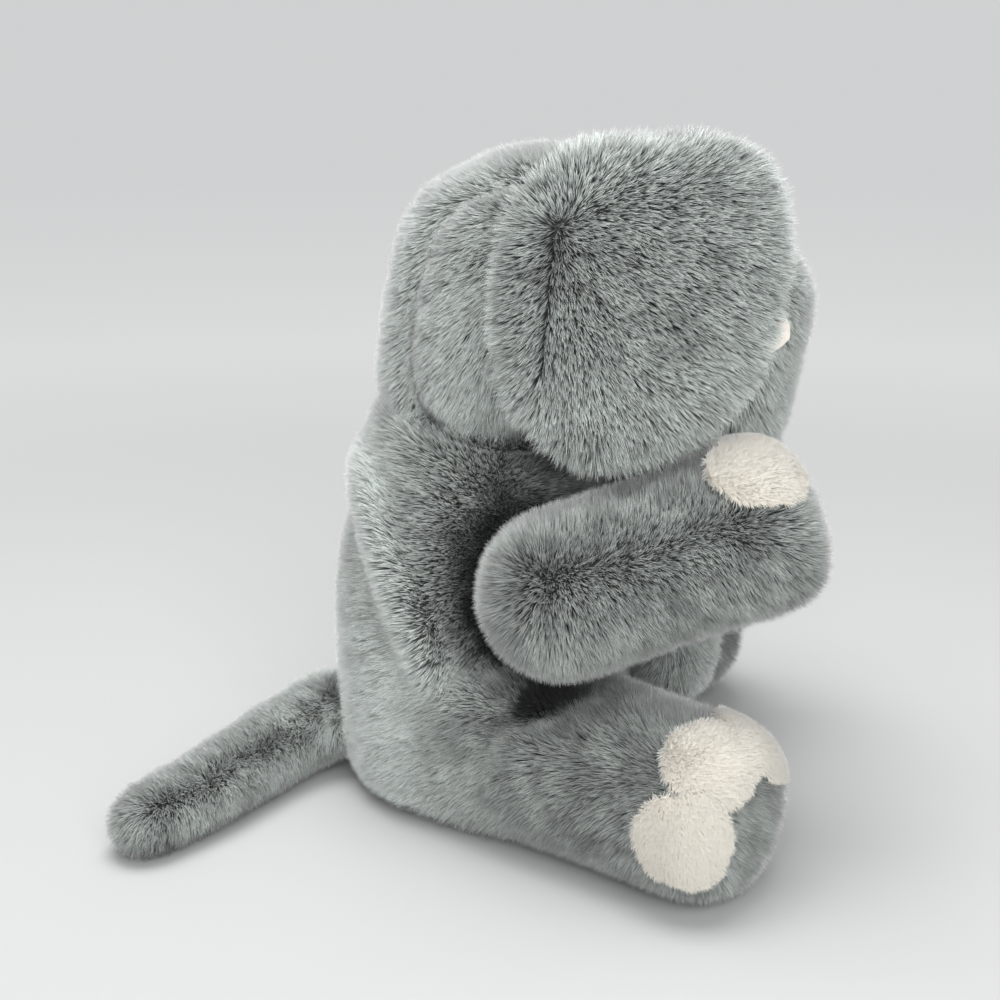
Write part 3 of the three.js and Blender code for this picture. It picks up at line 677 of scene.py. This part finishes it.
def grey_fur(
    form, seed, lie, bare, tone=level(0), lift=level(BASE_LIFT), share=level(1), crowd=1.0, under=level(0)
):
    """Fur on one form. What differs from place to place is a function of roots and normals."""
    roots, normals = scatter(form.data, PILE_DENSITY * crowd, seed)
    keep = ~bare(roots, normals)
    roots, normals = roots[keep], normals[keep]
    shade = BASE_TONE + tone(roots, normals) + BROAD_TONE * wander(roots, BROAD_TONE_SIZE, seed + 3)[:, 0]
    shade += FINE_TONE * wander(roots, FINE_TONE_SIZE, seed + 4)[:, 0]
    # Painted contact shadow along the floor.
    shade -= FLOOR_PAINTED_SHADE * (1 - ease(roots[:, 2], *FLOOR_FRINGE))
    # Painted shade where other forms lie close over the fur.
    shade -= under(roots, normals)
    rise = lift(roots, normals) + LIFT_DRIFT * wander(roots, LIFT_DRIFT_SIZE, seed + 5)[:, 0]
    lies = lie(roots, normals)
    shares = share(roots, normals)
    return pile(f"{form.name}_pile", roots, normals, lies, rise, GREY_LOOK, shade, shares, seed)


def furred(body, *facts, **more):
    for piece in grey_fur(forms[body], *facts, under=painted_cover_shade(body), **more):
        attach(piece, body)


def nearer_than(roots, centre, reach):
    return np.linalg.norm(roots - centre, axis=1) < reach


# Where a root turns in a hollow, the pile is short on both sides.
HOLLOW_SHARE = 0.35
HOLLOW_RIM = (3 * MM, 9 * MM)
ROOT_APART = (2 * MM, 6 * MM)
ROOT_MARGIN = 1 * MM


def hollow_share(roots, *bodies):
    share = np.ones(len(roots))
    for body in bodies:
        away = np.linalg.norm(roots - pivot[body], axis=1) - ball_radius[body]
        share = np.minimum(share, HOLLOW_SHARE + (1 - HOLLOW_SHARE) * ease(away, *HOLLOW_RIM))
    return share


def root_share(body):
    def share_of(roots, normals):
        apart = ease(distances(meeting[body], roots), *ROOT_APART)
        inside = nearer_than(roots, pivot[body], ball_radius[body] + ROOT_MARGIN)
        return np.where(inside, HOLLOW_SHARE + (1 - HOLLOW_SHARE) * apart, 1)
    return share_of


# Torso: the fur lies back, and turns down below. None grows inside, on the neck or under the seat.
LIE_BACK = 0.85
LIE_UP = 0.1
LIE_TURN = 0.5
LIE_HEIGHTS = (60 * MM, 120 * MM)
LOW_HEIGHTS = (45 * MM, 90 * MM)
INSIDE_HALF_WIDTH = 46 * MM
INSIDE_HALF_DEPTH = 39 * MM
FLAT = 0.85
SHOULDER_HEIGHT = 138 * MM
SEAT_HEIGHT = 8 * MM
TORSO_TONE = -0.034
LOW_TONE = 0.26
# Painted highlight along the raised side seam.
SEAM_PAINTED_LIGHT = 0.4
# Painted shade in the thigh crease.
CREASE_PAINTED_SHADE = 0.5
TORSO_LIFT = 80
BACK_LIFT_DROP = 16
BEHIND_REACH = 20 * MM
SEAM_LIFT_DROP = 14
FLOOR_SHARE = 0.6
FLOOR_HEIGHTS = (2 * MM, 14 * MM)


def torso_lie(roots, normals):
    low = 1 - ease(roots[:, 2], *LIE_HEIGHTS)
    return np.column_stack((np.zeros(len(roots)), np.full(len(roots), LIE_BACK), LIE_UP - LIE_TURN * low))


def torso_hidden(roots, normals):
    outward = normals[:, 0] * roots[:, 0] + normals[:, 1] * roots[:, 1]
    inside = (roots[:, 0] / INSIDE_HALF_WIDTH) ** 2 + (roots[:, 1] / INSIDE_HALF_DEPTH) ** 2 < 1
    hidden = inside & (outward < 0)
    hidden |= (normals[:, 2] > FLAT) & (roots[:, 2] > SHOULDER_HEIGHT)
    hidden |= (normals[:, 2] < -FLAT) & (roots[:, 2] < SEAT_HEIGHT)
    return hidden


def torso_tone(roots, normals):
    low = 1 - ease(roots[:, 2], *LOW_HEIGHTS)
    # Painted highlight on the side seam and painted shade in the thigh crease.
    return LOW_TONE * low + TORSO_TONE + SEAM_PAINTED_LIGHT * side_seam(roots) - CREASE_PAINTED_SHADE * thigh_crease(roots)


def torso_lift(roots, normals):
    low = 1 - ease(roots[:, 2], *LOW_HEIGHTS)
    behind = ease(behind_side_seam(roots), 0, BEHIND_REACH)
    return TORSO_LIFT - BACK_LIFT_DROP * np.maximum(low, behind) - SEAM_LIFT_DROP * side_seam(roots)


def torso_share(roots, normals):
    above_floor = FLOOR_SHARE + (1 - FLOOR_SHARE) * ease(roots[:, 2], *FLOOR_HEIGHTS)
    return above_floor * hollow_share(roots, "arm_left", "arm_right", "tail")


furred("torso", SEED["torso"], torso_lie, torso_hidden, torso_tone, torso_lift, torso_share)

# Head: the fur spreads from the crown. It is short beside the seams and the eyes, and bare inside.
CROWN = np.array((0, -42 * MM, 258 * MM))
HEAD_DOWN = 0.8
HEAD_LIFT = 60
HEAD_TONE = 0.2
# Painted highlight: the strip over the top of the head is painted lighter.
CROWN_PAINTED_LIGHT = 0.1
CROWN_EDGE = 8 * MM
# Painted shade in the drawn-in gusset seams.
GUSSET_PAINTED_SHADE = 0.5
GUSSET_SHORTER = 0.4
POCKET_RADIUS = 24 * MM
POCKET_TOP = 210 * MM
HEAD_BOTTOM = 158 * MM
EYE_BARE = 8 * MM
EYE_SHARE = 0.35
EYE_SHORT = (9 * MM, 22 * MM)


def head_lie(roots, normals):
    lie = unit(roots - CROWN) + HEAD_DOWN * DOWN
    beside = np.sign(np.abs(roots[:, 0]) - GUSSET_HALF_WIDTH) * np.sign(roots[:, 0]) * gusset_seam(roots)
    lie[:, 0] += beside
    return lie


def head_hidden(roots, normals):
    hidden = (np.hypot(roots[:, 0], roots[:, 1]) < POCKET_RADIUS) & (roots[:, 2] < POCKET_TOP)
    hidden |= (normals[:, 2] < -FLAT) & (roots[:, 2] < HEAD_BOTTOM)
    return hidden | (from_eyes(roots) < EYE_BARE)


def head_share(roots, normals):
    by_eyes = EYE_SHARE + (1 - EYE_SHARE) * ease(from_eyes(roots), *EYE_SHORT)
    return by_eyes * (1 - GUSSET_SHORTER * gusset_seam(roots)) * hollow_share(roots, "trunk")


def head_tone(roots, normals):
    # Painted highlight on the strip between the gusset seams.
    between = 1 - ease(np.abs(roots[:, 0]), GUSSET_HALF_WIDTH - CROWN_EDGE, GUSSET_HALF_WIDTH)
    # Painted shade along the gusset seams.
    return HEAD_TONE + CROWN_PAINTED_LIGHT * between - GUSSET_PAINTED_SHADE * gusset_seam(roots)


furred("head", SEED["head"], head_lie, head_hidden, head_tone, level(HEAD_LIFT), head_share)

# Trunk and tail: the trunk's fur lies down, and the tail's runs out from its root.
TAIL_SPREAD = (1, 1, 0.3)
TAIL_DOWN = 0.4
# Painted highlight: the trunk's fur tone is raised to paint it lighter.
trunk_fur = {"tone": level(0.157), "lift": level(62), "share": root_share("trunk"), "crowd": 1.3}
tail_fur = {"tone": level(-0.065), "lift": level(52), "share": root_share("tail"), "crowd": 1.7}


def nowhere(roots, normals):
    return np.zeros(len(roots), bool)


def trunk_lie(roots, normals):
    return DOWN + np.zeros_like(roots)


def tail_lie(roots, normals):
    return unit((roots - pivot["tail"]) * TAIL_SPREAD) + TAIL_DOWN * DOWN


furred("trunk", SEED["trunk"], trunk_lie, nowhere, **trunk_fur)
furred("tail", SEED["tail"], tail_lie, nowhere, **tail_fur)

# Toenails: small pads that spread sideways under cream pile. The grey pile stops around them.
NAIL_FORM_RELAX = 8
NAIL_CENTRE = 14 * MM
NAIL_TONE = 0.55
NAIL_TONE_DRIFT = 0.2
NAIL_TONE_SIZE = 14 * MM
NAIL_LIFT = 50.0
OUTER_FACING = -0.1
paw = {limb: np.array(sum(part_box(f"{limb}_sole"), Vector()) / 2) for limb in LIMBS}
reach = {limb: unit(paw[limb] - pivot[limb]) for limb in LIMBS}
nail_points = {limb: [] for limb in LIMBS}


def surface_tree(form):
    mesh = form.data
    corners = [vert.co for vert in mesh.vertices]
    return BVHTree.FromPolygons(corners, [face.vertices for face in mesh.polygons])


def laid_on(points, skin):
    """The points, pulled down where they stand too high over a skin."""
    moved = points.copy()
    for index, point in enumerate(points):
        spot, normal, _, _ = skin.find_nearest(point)
        height = (Vector(point) - spot).dot(normal)
        if height > NAIL_HEIGHT:
            moved[index] = spot + normal * NAIL_HEIGHT
    return moved


for number, limb in enumerate(LIMBS):
    skin = surface_tree(forms[limb])
    for nail in (1, 2, 3):
        node = f"{limb}_toenail_{nail}"
        pad = soft_form(f"{node}_pad", [node], NAIL_VOXEL, NAIL_FORM_RELAX)
        inside = paw[limb] - NAIL_CENTRE * reach[limb]
        points = points_of(pad.data)
        outward = unit(points.mean(axis=0) - inside)
        normals = normals_of(pad.data)
        sideways = normals - outward * (normals @ outward)[:, None]
        laid = laid_on(points + NAIL_GROW * sideways - NAIL_BACK[limb[:3]] * reach[limb], skin)
        set_points(pad.data, relaxed(laid, edges_of(pad.data), NAIL_RELAX))
        pad.data.materials.append(cream_backing)
        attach(pad, limb)
        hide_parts(node)
        points = points_of(pad.data)
        nail_points[limb].append(points)
        seed = SEED["nails"] + SEED_STEP * number + nail
        roots, normals = scatter(pad.data, NAIL_PILE_DENSITY, seed)
        outer = np.sum(normals * unit(roots - inside), axis=1) > OUTER_FACING
        roots, normals = roots[outer], normals[outer]
        lie = reach[limb] + DOWN + np.zeros_like(roots)
        tone = NAIL_TONE + NAIL_TONE_DRIFT * wander(roots, NAIL_TONE_SIZE, seed)[:, 0]
        rise, share = np.full(len(roots), NAIL_LIFT), np.ones(len(roots))
        for piece in pile(f"{node}_pile", roots, normals, lie, rise, CREAM_LOOK, tone, share, seed):
            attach(piece, limb)

# Limbs: an arm's fur spreads from a whorl at its back end, a leg's lies down and back.
WHORL = np.array((100 * MM, -19 * MM, 121 * MM))
ARM_ALONG = 0.6
ARM_DOWN = 0.25
# Painted shade: the arms' fur is painted darker, as the ears shade them.
ARM_PAINTED_SHADE = -0.215
LEG_DOWN = 0.75
LEG_BACK = 0.6
LEG_TONE = -0.26
LIMB_CROWD = 1.15


def leg_lie(leg):
    return LEG_DOWN * DOWN - LEG_BACK * reach[leg]


def limb_lie(name):
    def lie_of(roots, normals):
        if name.startswith("leg"):
            return leg_lie(name) + np.zeros_like(roots)
        whorl = WHORL * (SIGN[name[4:]], 1, 1)
        return unit(roots - whorl) + ARM_ALONG * reach[name] + ARM_DOWN * DOWN
    return lie_of


def limb_hidden(name):
    nails = nearest_tree(np.concatenate(nail_points[name]))
    return lambda roots, normals: distances(nails, roots) < NAIL_CLEAR


def leg_tone(roots, normals):
    # Painted shade in the thigh crease.
    return LEG_TONE - CREASE_PAINTED_SHADE * thigh_crease(roots)


# The arms' tone is painted shade.
limb_tone = {"arm": level(ARM_PAINTED_SHADE), "leg": leg_tone}
for number, limb in enumerate(LIMBS):
    share = root_share(limb) if limb in ball_radius else level(1)
    facts = (limb_lie(limb), limb_hidden(limb), limb_tone[limb[:3]], level(BASE_LIFT), share)
    furred(limb, SEED["limbs"] + SEED_STEP * number, *facts, crowd=LIMB_CROWD)

# Ears: a plush outside with its parting near the root, and a smooth lining that shows at the lower front.
EAR_WHORL = np.array((-30 * MM, 228 * MM))
PARTING_END = np.array((-26 * MM, 180 * MM))
LINING_VOXEL = 1.4 * MM
LINING_SINK = 1 * MM
LINING_INSET = 0.05
LINING_CLEAR = 2.5 * MM
LINING_PEEK = 9 * MM
PEEK_PLACE = np.array((-105 * MM, 192 * MM))
PEEK_WIDTH = 9 * MM
PEEK_FRONT = (-100 * MM, -78 * MM)
PEEK_START = (150 * MM, 165 * MM)
PEEK_END = (190 * MM, 205 * MM)
EAR_DOWN = 0.3
RIM_FACING = (0.5, 0.92)
EAR_LIFT = 73
RIM_LIFT_DROP = 15
EAR_TONE = 0.07
# Painted highlight on the ears' rims.
RIM_PAINTED_LIGHT = 0.13
# Painted shade along the ear's parting.
PARTING_PAINTED_SHADE = 0.35
PARTING_WIDTH = 3 * MM
PARTING_FADE = 0.7
INWARD_FACING = -0.3


def from_parting(roots):
    spot = roots[:, 1:]
    line = PARTING_END - EAR_WHORL
    share = np.clip((spot - EAR_WHORL) @ line / (line @ line), 0, 1)[:, None]
    return spot - (EAR_WHORL + share * line), share[:, 0]


def ear_lie(roots, normals):
    away, _ = from_parting(roots)
    spread = unit(away) + unit(roots[:, 1:] - EAR_WHORL)
    return np.column_stack((np.zeros(len(roots)), spread)) + EAR_DOWN * DOWN


def ear_rim(normals):
    return 1 - ease(np.abs(normals[:, 0]), *RIM_FACING)


def ear_lift(roots, normals):
    return EAR_LIFT - RIM_LIFT_DROP * ear_rim(normals)


def ear_tone(roots, normals):
    away, share = from_parting(roots)
    # Painted shade along the parting.
    parting = PARTING_PAINTED_SHADE * bell(np.linalg.norm(away, axis=1), PARTING_WIDTH) * (1 - PARTING_FADE * share)
    # Painted highlight on the rim and painted shade along the parting.
    return EAR_TONE + RIM_PAINTED_LIGHT * ear_rim(normals) - parting


def ear_hidden(side, lining):
    covered = nearest_tree(points_of(lining.data))

    def hidden(roots, normals):
        return (normals[:, 0] * SIGN[side] < INWARD_FACING) & (distances(covered, roots) < LINING_CLEAR)
    return hidden


for number, side in enumerate(SIDES):
    lining = soft_form(f"ear_{side}_lining_velour", [f"ear_{side}_lining"], LINING_VOXEL)
    points = points_of(lining.data)
    front = 1 - ease(points[:, 1], *PEEK_FRONT)
    low = ease(points[:, 2], *PEEK_START) * (1 - ease(points[:, 2], *PEEK_END))
    move_along_normals(lining, -LINING_SINK)
    moved = points_of(lining.data)
    inset = LINING_INSET * (1 - front * low)[:, None] * (moved - moved.mean(axis=0)) * (0, 1, 1)
    peek = LINING_PEEK * bell(np.linalg.norm(moved[:, 1:] - PEEK_PLACE, axis=1), PEEK_WIDTH)[:, None]
    set_points(lining.data, moved - inset + peek * unit((moved - moved.mean(axis=0)) * (0, 1, 1)))
    lining.data.materials.append(ear_velour)
    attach(lining, f"ear_{side}")
    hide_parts(f"ear_{side}_lining")
    seed = SEED["ears"] + SEED_STEP * number
    furred(f"ear_{side}", seed, ear_lie, ear_hidden(side, lining), ear_tone, ear_lift)

# Hips: plush drawn tight over torso and thigh.
HIP_TOP = 62 * MM
HIP_FRONT = -22 * MM
HIP_INNER = 20 * MM
HIP_ALONG = 34 * MM
HIP_REACH = 62 * MM
HIP_INNER_BACK = 30 * MM
HIP_LIFT = 64
OVER_SKIN = 0.2 * MM


def hip_hull(side):
    leg = f"leg_{side}"
    body_points = points_of(forms["torso"].data)
    low = (body_points[:, 2] < HIP_TOP) & (body_points[:, 1] > HIP_FRONT)
    low &= body_points[:, 0] * SIGN[side] > HIP_INNER
    leg_points = points_of(forms[leg].data)
    near = (leg_points - pivot[leg]) @ reach[leg] < HIP_ALONG
    build = bmesh.new()
    for point in np.concatenate((body_points[low], leg_points[near])):
        build.verts.new(point)
    hull = bmesh.ops.convex_hull(build, input=build.verts, use_existing_faces=False)
    left_over = hull["geom_interior"] + hull["geom_unused"]
    spare = {item for item in left_over if isinstance(item, bmesh.types.BMVert)}
    bmesh.ops.delete(build, geom=list(spare), context="VERTS")
    mesh = bpy.data.meshes.new(f"hip_{side}_plush")
    build.to_mesh(mesh)
    build.free()
    piece = link(bpy.data.objects.new(mesh.name, mesh))
    remesh(piece, FORM_VOXEL)
    set_points(piece.data, relaxed(points_of(piece.data), edges_of(piece.data), FORM_RELAX))
    move_along_normals(piece, -CREASE_DEPTH * thigh_crease(points_of(piece.data)))
    piece.data.shade_smooth()
    piece.data.materials.append(grey_backing)
    return piece


def inside_forms(*names):
    """Finds roots from which the way out leads through the skins of these forms."""
    trees = [surface_tree(forms[name]) for name in names]

    def hidden(roots, normals):
        return np.array([
            any(tree.ray_cast(root, normal, PILE_LENGTH * 2)[0] is not None for tree in trees)
            for root, normal in zip(roots + normals * OVER_SKIN, normals)
        ])
    return hidden


def hip_lie(leg):
    def lie_of(roots, normals):
        along = ease((roots - pivot[leg]) @ reach[leg], -HIP_REACH, HIP_REACH)[:, None]
        return (1 - along) * unit(torso_lie(roots, normals)) + along * leg_lie(leg)
    return lie_of


def hip_tone(leg):
    def tone_of(roots, normals):
        along = ease((roots - pivot[leg]) @ reach[leg], -HIP_REACH, HIP_ALONG)
        return (1 - along) * torso_tone(roots, normals) + along * leg_tone(roots, normals)
    return tone_of


def hip_hidden(side):
    buried = inside_forms("torso", f"leg_{side}")

    def hidden(roots, normals):
        inner = (roots[:, 0] * SIGN[side] < 2 * HIP_INNER) & (roots[:, 1] < HIP_INNER_BACK)
        inner |= normals[:, 0] * SIGN[side] < INWARD_FACING
        return inner | (normals[:, 2] < -FLAT) | buried(roots, normals)
    return hidden


for number, side in enumerate(SIDES):
    leg = f"leg_{side}"
    hip = hip_hull(side)
    seed = SEED["hips"] + SEED_STEP * number
    hip_pieces = grey_fur(hip, seed, hip_lie(leg), hip_hidden(side), hip_tone(leg), level(HIP_LIFT))
    for piece in (hip, *hip_pieces):
        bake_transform(piece)

# Neck: a plush sleeve folded small between torso and head.
NECK_HALF_WIDTH = 36 * MM
NECK_HALF_DEPTH = 33 * MM
NECK_MIDDLE = -2 * MM
NECK_HEIGHT = 148.15 * MM
NECK_FOLD = 1.8 * MM
NECK_WALL = 1.5 * MM
NECK_SIDES = 72
NECK_ROWS = 16
NECK_HEM = 6 * MM
NECK_PILE_DENSITY = 900
NECK_PILE_LENGTH = 6 * MM
NECK_LIFT = 84.0
# Painted shade: the folded neck fur is painted darker than the other grey fur.
NECK_PAINTED_SHADE = 0.5


def neck_sleeve():
    build = bmesh.new()
    levels = [NECK_HEIGHT - NECK_HEM]
    levels += [NECK_HEIGHT + NECK_FOLD * (2 * row / (NECK_ROWS - 1) - 1) for row in range(NECK_ROWS)]
    levels += [NECK_HEIGHT + NECK_HEM]
    rings = []
    for wall, heights in ((0, levels), (NECK_WALL, levels[::-1])):
        for height in heights:
            ring = []
            for step in range(NECK_SIDES):
                turn = 2 * math.pi * step / NECK_SIDES
                across = (NECK_HALF_WIDTH - wall) * math.cos(turn)
                along = NECK_MIDDLE + (NECK_HALF_DEPTH - wall) * math.sin(turn)
                ring.append(build.verts.new((across, along, height)))
            rings.append(ring)
    for ring, above in zip(rings, rings[1:] + rings[:1]):
        for step in range(NECK_SIDES):
            after = (step + 1) % NECK_SIDES
            build.faces.new((ring[step], ring[after], above[after], above[step]))
    mesh = bpy.data.meshes.new("neck_plush")
    build.to_mesh(mesh)
    build.free()
    mesh.shade_smooth()
    mesh.materials.append(grey_backing)
    return link(bpy.data.objects.new("neck_plush", mesh))


def cross_neck(piece):
    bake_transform(piece)


neck = neck_sleeve()
roots, normals = scatter(neck.data, NECK_PILE_DENSITY, SEED["neck"])
out = normals[:, 0] * roots[:, 0] + normals[:, 1] * (roots[:, 1] - NECK_MIDDLE) > 0
folded = np.abs(roots[:, 2] - NECK_HEIGHT) < NECK_FOLD
roots, normals = roots[out & folded], normals[out & folded]
neck_look = dict(GREY_LOOK, length=NECK_PILE_LENGTH)
lies = DOWN + np.zeros_like(roots)
# The neck fur's tone is painted shade.
rise, tone, share = (np.full(len(roots), value) for value in (NECK_LIFT, NECK_PAINTED_SHADE, 1.0))
neck_pieces = pile("neck_plush_pile", roots, normals, lies, rise, neck_look, tone, share, SEED["neck"])
for piece in (neck, *neck_pieces):
    cross_neck(piece)

# Eyes: smooth domes on their shanks.
EYE_VOXEL = 0.45 * MM
EYE_RELAX = 10
eye_gloss = eye_material()
for side in SIDES:
    eye = soft_form(f"eye_{side}_dome", [f"eye_{side}"], EYE_VOXEL, EYE_RELAX)
    eye.data.materials.append(eye_gloss)
    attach(eye, "head")
    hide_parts(f"eye_{side}")

# Hand lining, hem and finger pocket: woven cloth with soft creases.
LONG_EDGE = 6 * MM
CLOTH_CREASE_SIZE = 16 * MM
LINING_CREASE = 0.25 * MM
HEM_CREASE = 0.2 * MM


def cloth_copy(name, node, body, crease):
    piece = joined_copy(name, [node])
    build = bmesh.new()
    build.from_mesh(piece.data)
    long_edges = [edge for edge in build.edges if edge.calc_length() > LONG_EDGE]
    bmesh.ops.subdivide_edges(build, edges=long_edges, cuts=2, use_grid_fill=True)
    build.to_mesh(piece.data)
    build.free()
    points = points_of(piece.data)
    set_points(piece.data, points + crease * wander(points, CLOTH_CREASE_SIZE, SEED["cloth"]))
    piece.data.shade_smooth()
    piece.data.materials.append(lining_weave)
    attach(piece, body)
    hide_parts(node)


cloth_copy("hand_lining_cloth", "hand_lining", "torso", LINING_CREASE)
cloth_copy("opening_hem_cloth", "opening_hem", "torso", HEM_CREASE)
cloth_copy("finger_pocket_cloth", "finger_pocket", "head", LINING_CREASE)

WASHER_NAP = {"grain": 2 * MM, "rise": 0.02 * MM, "roughness": 0.5, "sheen": 0}
washer_material = nap_material("washer_plastic", (0.62, 0.62, 0.59), (0.7, 0.7, 0.67), **WASHER_NAP)
for side in SIDES:
    washer = frame["nodes"][f"eye_washer_{side}"]
    washer.data.materials.clear()
    washer.data.materials.append(washer_material)


# Stage: a pale floor that fades into the same pale background.
FLOOR_COLOUR = (0.565, 0.57, 0.57)
MIDDLE_COLOUR = (0.76, 0.77, 0.765)
FAR_COLOUR = (0.63, 0.635, 0.64)
FLOOR_RADIUS = 6
FADE_START = 0.3
FADE_END = 1.3
WORLD_LIGHT = 0.42
LAMP_TARGET = (0, 0, 0.1)
KEY_PLACE = (0.0, 0.15, 1.65)
KEY_SIZE = 1.1
KEY_POWER = 22
FILL_PLACE = (-1.4, -0.3, 0.9)
FILL_SIZE = 1.2
FILL_POWER = 19

# One over the distance from the middle, in metres, at which each of the two colours is reached.
FAR_SHARE = 0.17
MIDDLE_SHARE = 1.2


def seen_directly(nodes, links):
    """One for rays that look at the background, none for the light that it gives."""
    rays = nodes.new("ShaderNodeLightPath")
    first = nodes.new("ShaderNodeMath")
    first.operation = "MAXIMUM"
    second = nodes.new("ShaderNodeMath")
    second.operation = "MAXIMUM"
    links.new(rays.outputs["Is Camera Ray"], first.inputs[0])
    links.new(rays.outputs["Is Glossy Ray"], first.inputs[1])
    links.new(first.outputs[0], second.inputs[0])
    links.new(rays.outputs["Is Transmission Ray"], second.inputs[1])
    return second.outputs[0]


def make_floor():
    build = bmesh.new()
    bmesh.ops.create_circle(build, cap_ends=True, radius=FLOOR_RADIUS, segments=96)
    mesh = bpy.data.meshes.new("floor")
    build.to_mesh(mesh)
    build.free()
    floor = link(bpy.data.objects.new("floor", mesh))
    material, shader = new_material("floor_paper", roughness=0.9, specular=0.1)
    shader.inputs["Base Color"].default_value = (*FLOOR_COLOUR, 1)
    place = add_node(material, "ShaderNodeTexCoord")
    away = add_node(material, "ShaderNodeVectorMath", operation="LENGTH")
    fade = add_node(material, "ShaderNodeMapRange", interpolation_type="SMOOTHSTEP")
    fade.inputs["From Min"].default_value = FADE_START
    fade.inputs["From Max"].default_value = FADE_END
    near = add_node(material, "ShaderNodeMath", operation="DIVIDE")
    near.inputs[0].default_value = 1
    depth = add_node(material, "ShaderNodeMapRange")
    depth.inputs["From Min"].default_value = FAR_SHARE
    depth.inputs["From Max"].default_value = MIDDLE_SHARE
    tint = add_node(material, "ShaderNodeValToRGB")
    fill_ramp(tint, ((0, FAR_COLOUR), (1, MIDDLE_COLOUR)))
    glow = add_node(material, "ShaderNodeEmission")
    gate = add_node(material, "ShaderNodeMath", operation="MULTIPLY")
    mix = add_node(material, "ShaderNodeMixShader")
    output = material.node_tree.nodes["Material Output"]
    wire(material, place.outputs["Object"], away.inputs[0])
    wire(material, away.outputs["Value"], fade.inputs["Value"])
    wire(material, away.outputs["Value"], near.inputs[1])
    wire(material, near.outputs[0], depth.inputs["Value"])
    wire(material, depth.outputs["Result"], tint.inputs["Fac"])
    wire(material, tint.outputs["Color"], glow.inputs["Color"])
    wire(material, fade.outputs["Result"], gate.inputs[0])
    wire(material, seen_directly(material.node_tree.nodes, material.node_tree.links), gate.inputs[1])
    wire(material, gate.outputs[0], mix.inputs["Fac"])
    wire(material, shader.outputs["BSDF"], mix.inputs[1])
    wire(material, glow.outputs["Emission"], mix.inputs[2])
    wire(material, mix.outputs["Shader"], output.inputs["Surface"])
    mesh.materials.append(material)


def make_world():
    world = bpy.data.worlds.new("studio")
    bpy.context.scene.world = world
    world.use_nodes = True
    nodes = world.node_tree.nodes
    links = world.node_tree.links
    light = nodes["Background"]
    light.inputs["Color"].default_value = (1, 1, 1, 1)
    light.inputs["Strength"].default_value = WORLD_LIGHT
    seen = nodes.new("ShaderNodeBackground")
    seen.inputs["Color"].default_value = (*FAR_COLOUR, 1)
    mix = nodes.new("ShaderNodeMixShader")
    links.new(seen_directly(nodes, links), mix.inputs["Fac"])
    links.new(light.outputs[0], mix.inputs[1])
    links.new(seen.outputs[0], mix.inputs[2])
    links.new(mix.outputs[0], nodes["World Output"].inputs["Surface"])


def make_lamp(name, place, target, width, power):
    lamp = bpy.data.lights.new(name, "AREA")
    lamp.size = width
    lamp.energy = power
    stand = link(bpy.data.objects.new(name, lamp))
    stand.location = place
    stand.rotation_mode = "QUATERNION"
    stand.rotation_quaternion = (Vector(target) - Vector(place)).to_track_quat("-Z", "Y")


make_floor()
make_world()
make_lamp("key", KEY_PLACE, LAMP_TARGET, KEY_SIZE, KEY_POWER)
make_lamp("fill", FILL_PLACE, LAMP_TARGET, FILL_SIZE, FILL_POWER)


def make_camera():
    data = bpy.data.cameras.new("photo_camera")
    data.angle = CAMERA_ANGLE
    camera = link(bpy.data.objects.new("photo_camera", data))
    flat = math.cos(CAMERA_RISE)
    back = Vector((math.sin(CAMERA_TURN) * flat, -math.cos(CAMERA_TURN) * flat, math.sin(CAMERA_RISE)))
    camera.location = CAMERA_TARGET + back * CAMERA_DISTANCE
    camera.rotation_mode = "QUATERNION"
    camera.rotation_quaternion = (-back).to_track_quat("-Z", "Y")
    bpy.context.scene.camera = camera


make_camera()
bpy.context.scene.view_settings.view_transform = "Standard"
